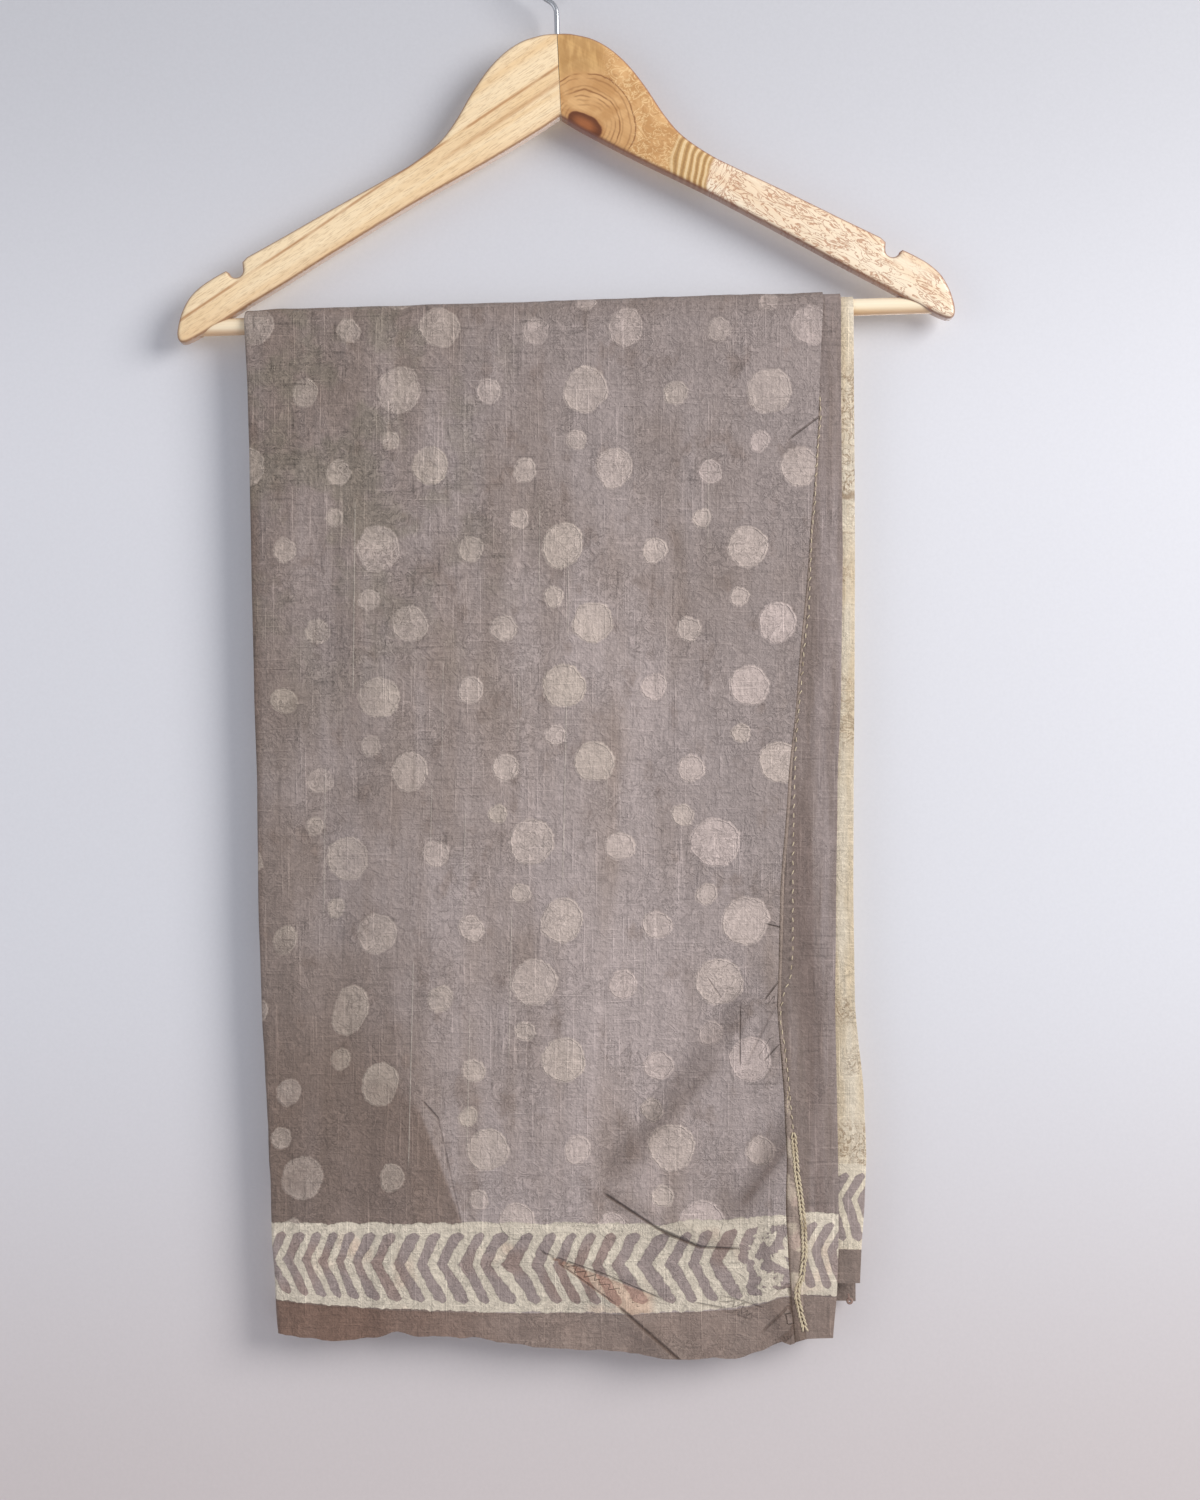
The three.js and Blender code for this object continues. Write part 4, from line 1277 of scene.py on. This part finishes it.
def capsule(start, end, radius, sides=7):
    """Points and faces of one small stitch."""
    start = Vector(start)
    end = Vector(end)
    axis = (end - start).normalized()
    one = axis.orthogonal().normalized()
    two = axis.cross(one)
    points = [start - axis * radius]
    faces = [(0, 1 + (k + 1) % sides, 1 + k) for k in range(sides)]
    for i, (share, beyond, width) in enumerate(STITCH_RINGS):
        centre = start.lerp(end, share) + axis * radius * beyond
        points += ring_of(centre, one, two, radius * width, sides)
        if i:
            faces += ring_faces(1 + (i - 1) * sides, 1 + i * sides, sides)
    points.append(end + axis * radius)
    last = len(points) - 1
    faces += [(last, last - sides + k, last - sides + (k + 1) % sides) for k in range(sides)]
    return [tuple(p) for p in points], faces


def join_shapes(name, shapes, material):
    points = []
    faces = []
    for shape_points, shape_faces in shapes:
        start = len(points)
        points += shape_points
        faces += [tuple(start + i for i in face) for face in shape_faces]
    return shade(make_object(name, points, faces, material), 80)


def along_path(path, step):
    """Even steps down a path: the place and the angle of each."""
    places = np.stack([path["x"], path["z"]], axis=1)
    lengths = np.hypot(*np.diff(places, axis=0).T)
    run = np.concatenate([[0], np.cumsum(lengths)])
    at = np.arange(0, run[-1], step)
    x = np.interp(at, run, places[:, 0])
    z = np.interp(at, run, places[:, 1])
    return list(zip(x, z, np.arctan2(np.gradient(z), np.gradient(x))))


def make_stitches(material):
    random = np.random.default_rng(5)
    shapes = []

    def stitch(x, z, angle, kind):
        half_x = math.cos(angle) * kind["length"] / 2
        half_z = math.sin(angle) * kind["length"] / 2
        y = cloth_front(x, z, LEVELS["outer"] + kind["above"])
        thin, thick = kind["radius"]
        radius = random.uniform(thin, thick) if thin < thick else thin
        shapes.append(capsule((x - half_x, y, z - half_z), (x + half_x, y - 0.1, z + half_z), radius))

    for i, (x, z, angle) in enumerate(along_path(SEAM, HAND_STITCH["step"])):
        if z <= CHAIN_FROM:
            for side in (-1, 1):
                place = (x + side * CHAIN_STITCH["aside"], z + random.uniform(-0.4, 0.4))
                stitch(*place, angle + side * CHAIN_STITCH["turn"], CHAIN_STITCH)
        elif i % 2:
            stitch(x, z, angle + random.uniform(*HAND_STITCH["turn"]), HAND_STITCH)
    for x, z, angle in along_path(SECOND_SEAM, SECOND_STITCH["step"]):
        stitch(x, z, angle + random.uniform(*SECOND_STITCH["turn"]), SECOND_STITCH)
    return join_shapes("seam_stitches", shapes, material)


def tube(points, radius, sides=8, closed=False):
    """Points and faces of a round tube on a path, closed at its ends."""
    path = [Vector(p) for p in points]
    count = len(path)
    made = []
    normal = None
    for i, place in enumerate(path):
        before = path[(i - 1) % count] if closed or i else place
        after = path[(i + 1) % count] if closed or i < count - 1 else place
        way = (after - before).normalized()
        normal = way.orthogonal() if normal is None else normal - way * normal.dot(way)
        normal.normalize()
        made += ring_of(place, normal, way.cross(normal), radius, sides)
    faces = []
    for i in range(count if closed else count - 1):
        faces += ring_faces(i * sides, (i + 1) % count * sides, sides)
    if not closed:
        faces.append(tuple(range(sides))[::-1])
        faces.append(tuple((count - 1) * sides + k for k in range(sides)))
    return [tuple(p) for p in made], faces


# The knotted loop at the under corner of the cream layer: its middle and half sizes
KNOT_LOOP = {"x": 168.8, "z": -781.2, "half_x": 1.3, "half_y": 0.5, "half_z": 1.2, "radius": 0.7}
KNOT_TAIL = {"path": ((168.0, -777.0), (168.2, -778.6), (168.4, -780.2)), "radius": 0.5}


def make_knot(material):
    y = cloth_front(168.7, -766, LEVELS["end_back"])
    shapes = []
    for turn, lift in ((0.0, 0.0), (0.7, 0.5)):
        ring = []
        for k in range(16):
            angle = 2 * math.pi * k / 16
            ring.append((
                KNOT_LOOP["x"] + KNOT_LOOP["half_x"] * math.cos(angle),
                y + lift + KNOT_LOOP["half_y"] * math.sin(angle + turn),
                KNOT_LOOP["z"] + KNOT_LOOP["half_z"] * math.sin(angle),
            ))
        shapes.append(tube(ring, KNOT_LOOP["radius"], closed=True))
    shapes.append(tube([(x, y, z) for x, z in KNOT_TAIL["path"]], KNOT_TAIL["radius"]))
    return join_shapes("corner_knot", shapes, material)


# Hanger

def spline(points, steps):
    """A smooth line through points, as a Catmull-Rom spline draws it."""
    p = np.array(points, float)
    before = np.vstack([p[:1], p[:-1]])
    after = np.vstack([p[1:], p[-1:]])
    line = []
    for i in range(len(p) - 1):
        way0 = (after[i] - before[i]) / 2
        way1 = (after[i + 1] - before[i + 1]) / 2
        for t in np.arange(steps) / steps:
            line.append(
                (2 * t ** 3 - 3 * t ** 2 + 1) * p[i] + (t ** 3 - 2 * t ** 2 + t) * way0
                + (-2 * t ** 3 + 3 * t ** 2) * p[i + 1] + (t ** 3 - t ** 2) * way1
            )
    return line + [p[-1]]


def half_outline():
    """Half of the bow, from the top of its middle to the bottom."""
    steps = STEPS["outline"]
    top = np.stack([ARM_EDGES["x"], ARM_EDGES["top"]], axis=1)
    bottom = np.stack([ARM_EDGES["x"], ARM_EDGES["bottom"]], axis=1)
    tip = np.stack([TIP["x"], TIP["z"]], axis=1)
    line = spline([(0, WOOD_TOP), *top], steps) + [np.array(NOTCH_CORNER)]
    middle = np.array([NOTCH["x"], NOTCH["z"]])
    for angle in np.linspace(NOTCH["from"], NOTCH["to"], STEPS["notch"]):
        line.append(middle + NOTCH["radius"] * np.array([math.cos(angle), math.sin(angle)]))
    line += spline([NOTCH_PEAK, *tip], steps)
    line += spline([*bottom[::-1], (0, ARM_BOTTOM)], steps)
    return np.array(line)


def inset(outline, distance):
    """The outline moved inwards, which runs clockwise as seen from the front."""
    before = outline - np.roll(outline, 1, axis=0)
    after = np.roll(outline, -1, axis=0) - outline
    before /= np.linalg.norm(before, axis=1, keepdims=True)
    after /= np.linalg.norm(after, axis=1, keepdims=True)
    normal_before = np.stack([before[:, 1], -before[:, 0]], axis=1)
    normal_after = np.stack([after[:, 1], -after[:, 0]], axis=1)
    middle = normal_before + normal_after
    middle /= np.linalg.norm(middle, axis=1, keepdims=True)
    reach = distance / np.maximum((middle * normal_after).sum(axis=1), 0.5)
    return outline + middle * reach[:, None]


def bow_mesh():
    """Both arms in one closed mesh with rounded edges, in the hanger's upright frame."""
    right = half_outline()
    left = (right * [-1, 1])[::-1][1:-1]
    outline = np.vstack([right, left])
    count = len(outline)
    rings = []
    for angle in np.linspace(0, math.pi / 2, STEPS["edge"]):
        depth = ARM_THICK / 2 - ARM_ROUNDING + ARM_ROUNDING * math.cos(angle)
        rings.append((inset(outline, ARM_ROUNDING * (1 - math.sin(angle))), -depth))
    rings += [(ring, -depth) for ring, depth in rings[::-1]]
    mesh = bmesh.new()
    vertices = [[mesh.verts.new((x, y, z)) for x, z in ring] for ring, y in rings]
    for a, b in zip(vertices, vertices[1:]):
        for k in range(count):
            mesh.faces.new((a[k], a[(k + 1) % count], b[(k + 1) % count], b[k]))
    mesh.faces.new(vertices[0][::-1])
    mesh.faces.new(vertices[-1])
    return mesh


def tilted(points):
    """From the hanger's upright frame to where it hangs."""
    p = np.asarray(points, float)
    c = math.cos(HANGER_TILT)
    s = math.sin(HANGER_TILT)
    return np.stack([p[:, 0] * c - p[:, 2] * s, p[:, 1], p[:, 0] * s + p[:, 2] * c], axis=1)


def level_rod(half, radius, sides):
    """A rod where the bar lies."""
    return tube([(-half, 0, -BAR_DROP), (half, 0, -BAR_DROP)], radius, sides)


def cut_with(made, cutters):
    """Takes round rods out of a piece."""
    for points, faces in cutters:
        cutter = make_object("cutter", tilted(points), faces, made.data.materials[0])
        cut = made.modifiers.new("cut", "BOOLEAN")
        cut.operation = "DIFFERENCE"
        cut.solver = "EXACT"
        cut.object = cutter
        depsgraph = bpy.context.evaluated_depsgraph_get()
        mesh = bpy.data.meshes.new_from_object(made.evaluated_get(depsgraph))
        made.modifiers.clear()
        made.data = mesh
        bpy.data.objects.remove(cutter)


def make_arm(name, side, material):
    mesh = bow_mesh()
    face = Vector((math.cos(JOINT_SKEW), 0, math.sin(JOINT_SKEW)))
    on_joint = Vector((0, 0, WOOD_TOP)) + face * side * JOINT_GAP / 2
    everything = mesh.verts[:] + mesh.edges[:] + mesh.faces[:]
    cut = bmesh.ops.bisect_plane(
        mesh, geom=everything, plane_co=on_joint, plane_no=face * -side, clear_outer=True
    )
    rim = [e for e in cut["geom_cut"] if isinstance(e, bmesh.types.BMEdge)]
    bmesh.ops.contextual_create(mesh, geom=rim)
    bmesh.ops.recalc_face_normals(mesh, faces=mesh.faces)
    bmesh.ops.triangulate(mesh, faces=[f for f in mesh.faces if len(f.verts) > 4])
    mesh.verts.index_update()
    points = [tuple(v.co) for v in mesh.verts]
    faces = [tuple(v.index for v in f.verts) for f in mesh.faces]
    mesh.free()
    made = make_object(name, tilted(points), faces, material)
    down_stem = [(0, 0, WOOD_TOP - FIT - STEM_DEPTH), (0, 0, WOOD_TOP + 5)]
    stem = tube(down_stem, WIRE_RADIUS + FIT, STEPS["stem"])
    cut_with(made, [stem, level_rod(BAR_HALF + FIT, BAR_RADIUS + FIT, STEPS["bore"])])
    return shade(made, 32)


def make_bar(material):
    points, faces = level_rod(BAR_HALF, BAR_RADIUS, STEPS["bar"])
    return shade(make_object("bar", tilted(points), faces, material), 40)


def hook_path():
    """Up out of the wood, a bend to the left, and round over the rail."""
    centre = -(HOOK_RADIUS - WIRE_RADIUS)
    bend = WOOD_TOP + HOOK_STRAIGHT
    rise = centre - bend
    turn = math.asin((HOOK_RADIUS + HOOK_BEND) / math.hypot(rise, HOOK_BEND))
    turn -= math.atan2(HOOK_BEND, rise)
    points = [(0, 0, z) for z in np.linspace(WOOD_TOP - STEM_DEPTH, bend, STEPS["straight"])[:-1]]
    for angle in np.linspace(0, turn, STEPS["bend"]):
        points.append((HOOK_BEND * (math.cos(angle) - 1), 0, bend + HOOK_BEND * math.sin(angle)))
    for angle in np.linspace(math.pi + turn, HOOK_MOUTH, STEPS["hook"]):
        points.append((HOOK_RADIUS * math.cos(angle), 0, centre + HOOK_RADIUS * math.sin(angle)))
    return points


def make_hook(material):
    points, faces = tube(hook_path(), WIRE_RADIUS, STEPS["wire"])
    return shade(make_object("hook", tilted(points), faces, material), 60)


# Camera, light and stage

CAMERA = {"x": 26.3, "distance": 1300.0, "z": -466.75, "half_view": 0.3304}


def make_camera():
    data = bpy.data.cameras.new("camera")
    data.lens = data.sensor_width / 2 / CAMERA["half_view"]
    camera = bpy.data.objects.new("camera", data)
    camera.location = (CAMERA["x"] * MM, -CAMERA["distance"] * MM, CAMERA["z"] * MM)
    camera.rotation_euler = (math.radians(90), 0, 0)
    bpy.context.scene.collection.objects.link(camera)
    bpy.context.scene.camera = camera


# Soft lights: place in metres, size, power and colour
LIGHTS = (
    ("key", (1.6, -1.35, 0.25), 1.3, 40, (1, 0.985, 0.965)),
    ("fill", (-1.9, -1.5, -0.5), 1.6, 7, (0.97, 0.97, 1)),
    ("back", (0.9, 2.0, -0.9), 1.4, 30, (1, 1, 1)),
)
LIT_PLACE = (0, 0, -0.45)
WORLD = {"colour": (0.91, 0.93, 1.0, 1), "strength": 0.52}


def make_light():
    world = bpy.data.worlds.new("studio")
    world.use_nodes = True
    background = world.node_tree.nodes["Background"]
    background.inputs["Color"].default_value = WORLD["colour"]
    background.inputs["Strength"].default_value = WORLD["strength"]
    bpy.context.scene.world = world
    for name, place, size, power, colour in LIGHTS:
        data = bpy.data.lights.new(name, "AREA")
        data.shape = "DISK"
        data.size = size
        data.energy = power
        data.color = colour
        light = bpy.data.objects.new(name, data)
        light.location = place
        light.rotation_euler = (Vector(LIT_PLACE) - Vector(place)).to_track_quat("-Z", "Y").to_euler()
        bpy.context.scene.collection.objects.link(light)


FLOOR = {"radius": 300, "z": -1050}
BACKDROP = {"left": -430, "right": 480, "bottom": -1000, "top": 70, "y": 15}


def make_stage():
    """A plain pale floor below, and a backdrop with painted shade towards its top and bottom, which can be
    seen from the front alone.
    """
    n = Nodes("floor")
    pale = n.finish(n.brighten((214, 212, 214), 1.0 + n.noise(220, 3).around(0.03)), 0.8)
    ring = [
        (FLOOR["radius"] * math.cos(a), FLOOR["radius"] * math.sin(a), FLOOR["z"])
        for a in np.linspace(0, 2 * math.pi, 65)[:-1]
    ]
    floor = make_object("floor", ring, [tuple(range(len(ring)))], pale)

    n = Nodes("backdrop")
    _, _, height = n.split(n.place)
    # Painted shade: warmer and darker towards the bottom, and darker towards the top
    colour = n.mix(height.step(-0.55, -0.95), (220, 220, 225), (207, 198, 197))
    colour = colour.lit(1.0 - height.step(-0.32, 0.0) * 0.20 + n.noise(520).around(0.06))
    wall = n.out(0, "ShaderNodeBsdfDiffuse", {"Color": colour})
    clear = n.out(0, "ShaderNodeBsdfTransparent")
    # Light passes through it, so that the back is lit as well
    light_passes = n.most(
        n.out("Is Shadow Ray", "ShaderNodeLightPath"), n.out("Is Diffuse Ray", "ShaderNodeLightPath")
    )
    hidden = n.most(n.out("Backfacing", "ShaderNodeNewGeometry"), light_passes)
    shown = n.out(0, "ShaderNodeMixShader", {0: hidden, 1: wall, 2: clear})
    n.add("ShaderNodeOutputMaterial", {"Surface": shown})
    sides = [(x, BACKDROP["y"]) for x in (BACKDROP["left"], BACKDROP["right"])]
    corners = [(x, y, BACKDROP["bottom"]) for x, y in sides]
    corners += [(x, y, BACKDROP["top"]) for x, y in sides[::-1]]
    backdrop = make_object("backdrop", corners, [(0, 1, 2, 3)], n.material)


# Everything in its place

make_camera()
make_light()
make_stage()
bpy.context.scene.view_settings.view_transform = "Standard"

outer = make_outer(outer_material())
inner = make_inner(inner_material())
end = make_end(end_material())
hem = make_hem(hem_material())
stitches = make_stitches(thread_material())
knot = make_knot(knot_material())
arm_left = make_arm("arm_left", -1, left_arm_material())
arm_right = make_arm("arm_right", 1, right_arm_material())
bar = make_bar(bar_material())
hook = make_hook(steel_material())

STANDS_FOR = (
    (outer, "saree_outer", "printed_cloth"), (inner, "saree_inner_folds", "inner_cloth"),
    (end, "saree_pallu", "cream_cloth"), (hem, "saree_end_hem", "hem_cloth"),
    (arm_left, "hanger_arm_left", "arm_wood"), (arm_right, "hanger_arm_right", "arm_wood"),
    (bar, "hanger_bar", "bar_wood"), (hook, "hanger_hook", "hook_steel"),
)
for piece, node, slot in STANDS_FOR:
    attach(piece, "root")
    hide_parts(node)
for piece, slot in ((stitches, "hem_cloth"), (knot, "cream_cloth")):
    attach(piece, "root")
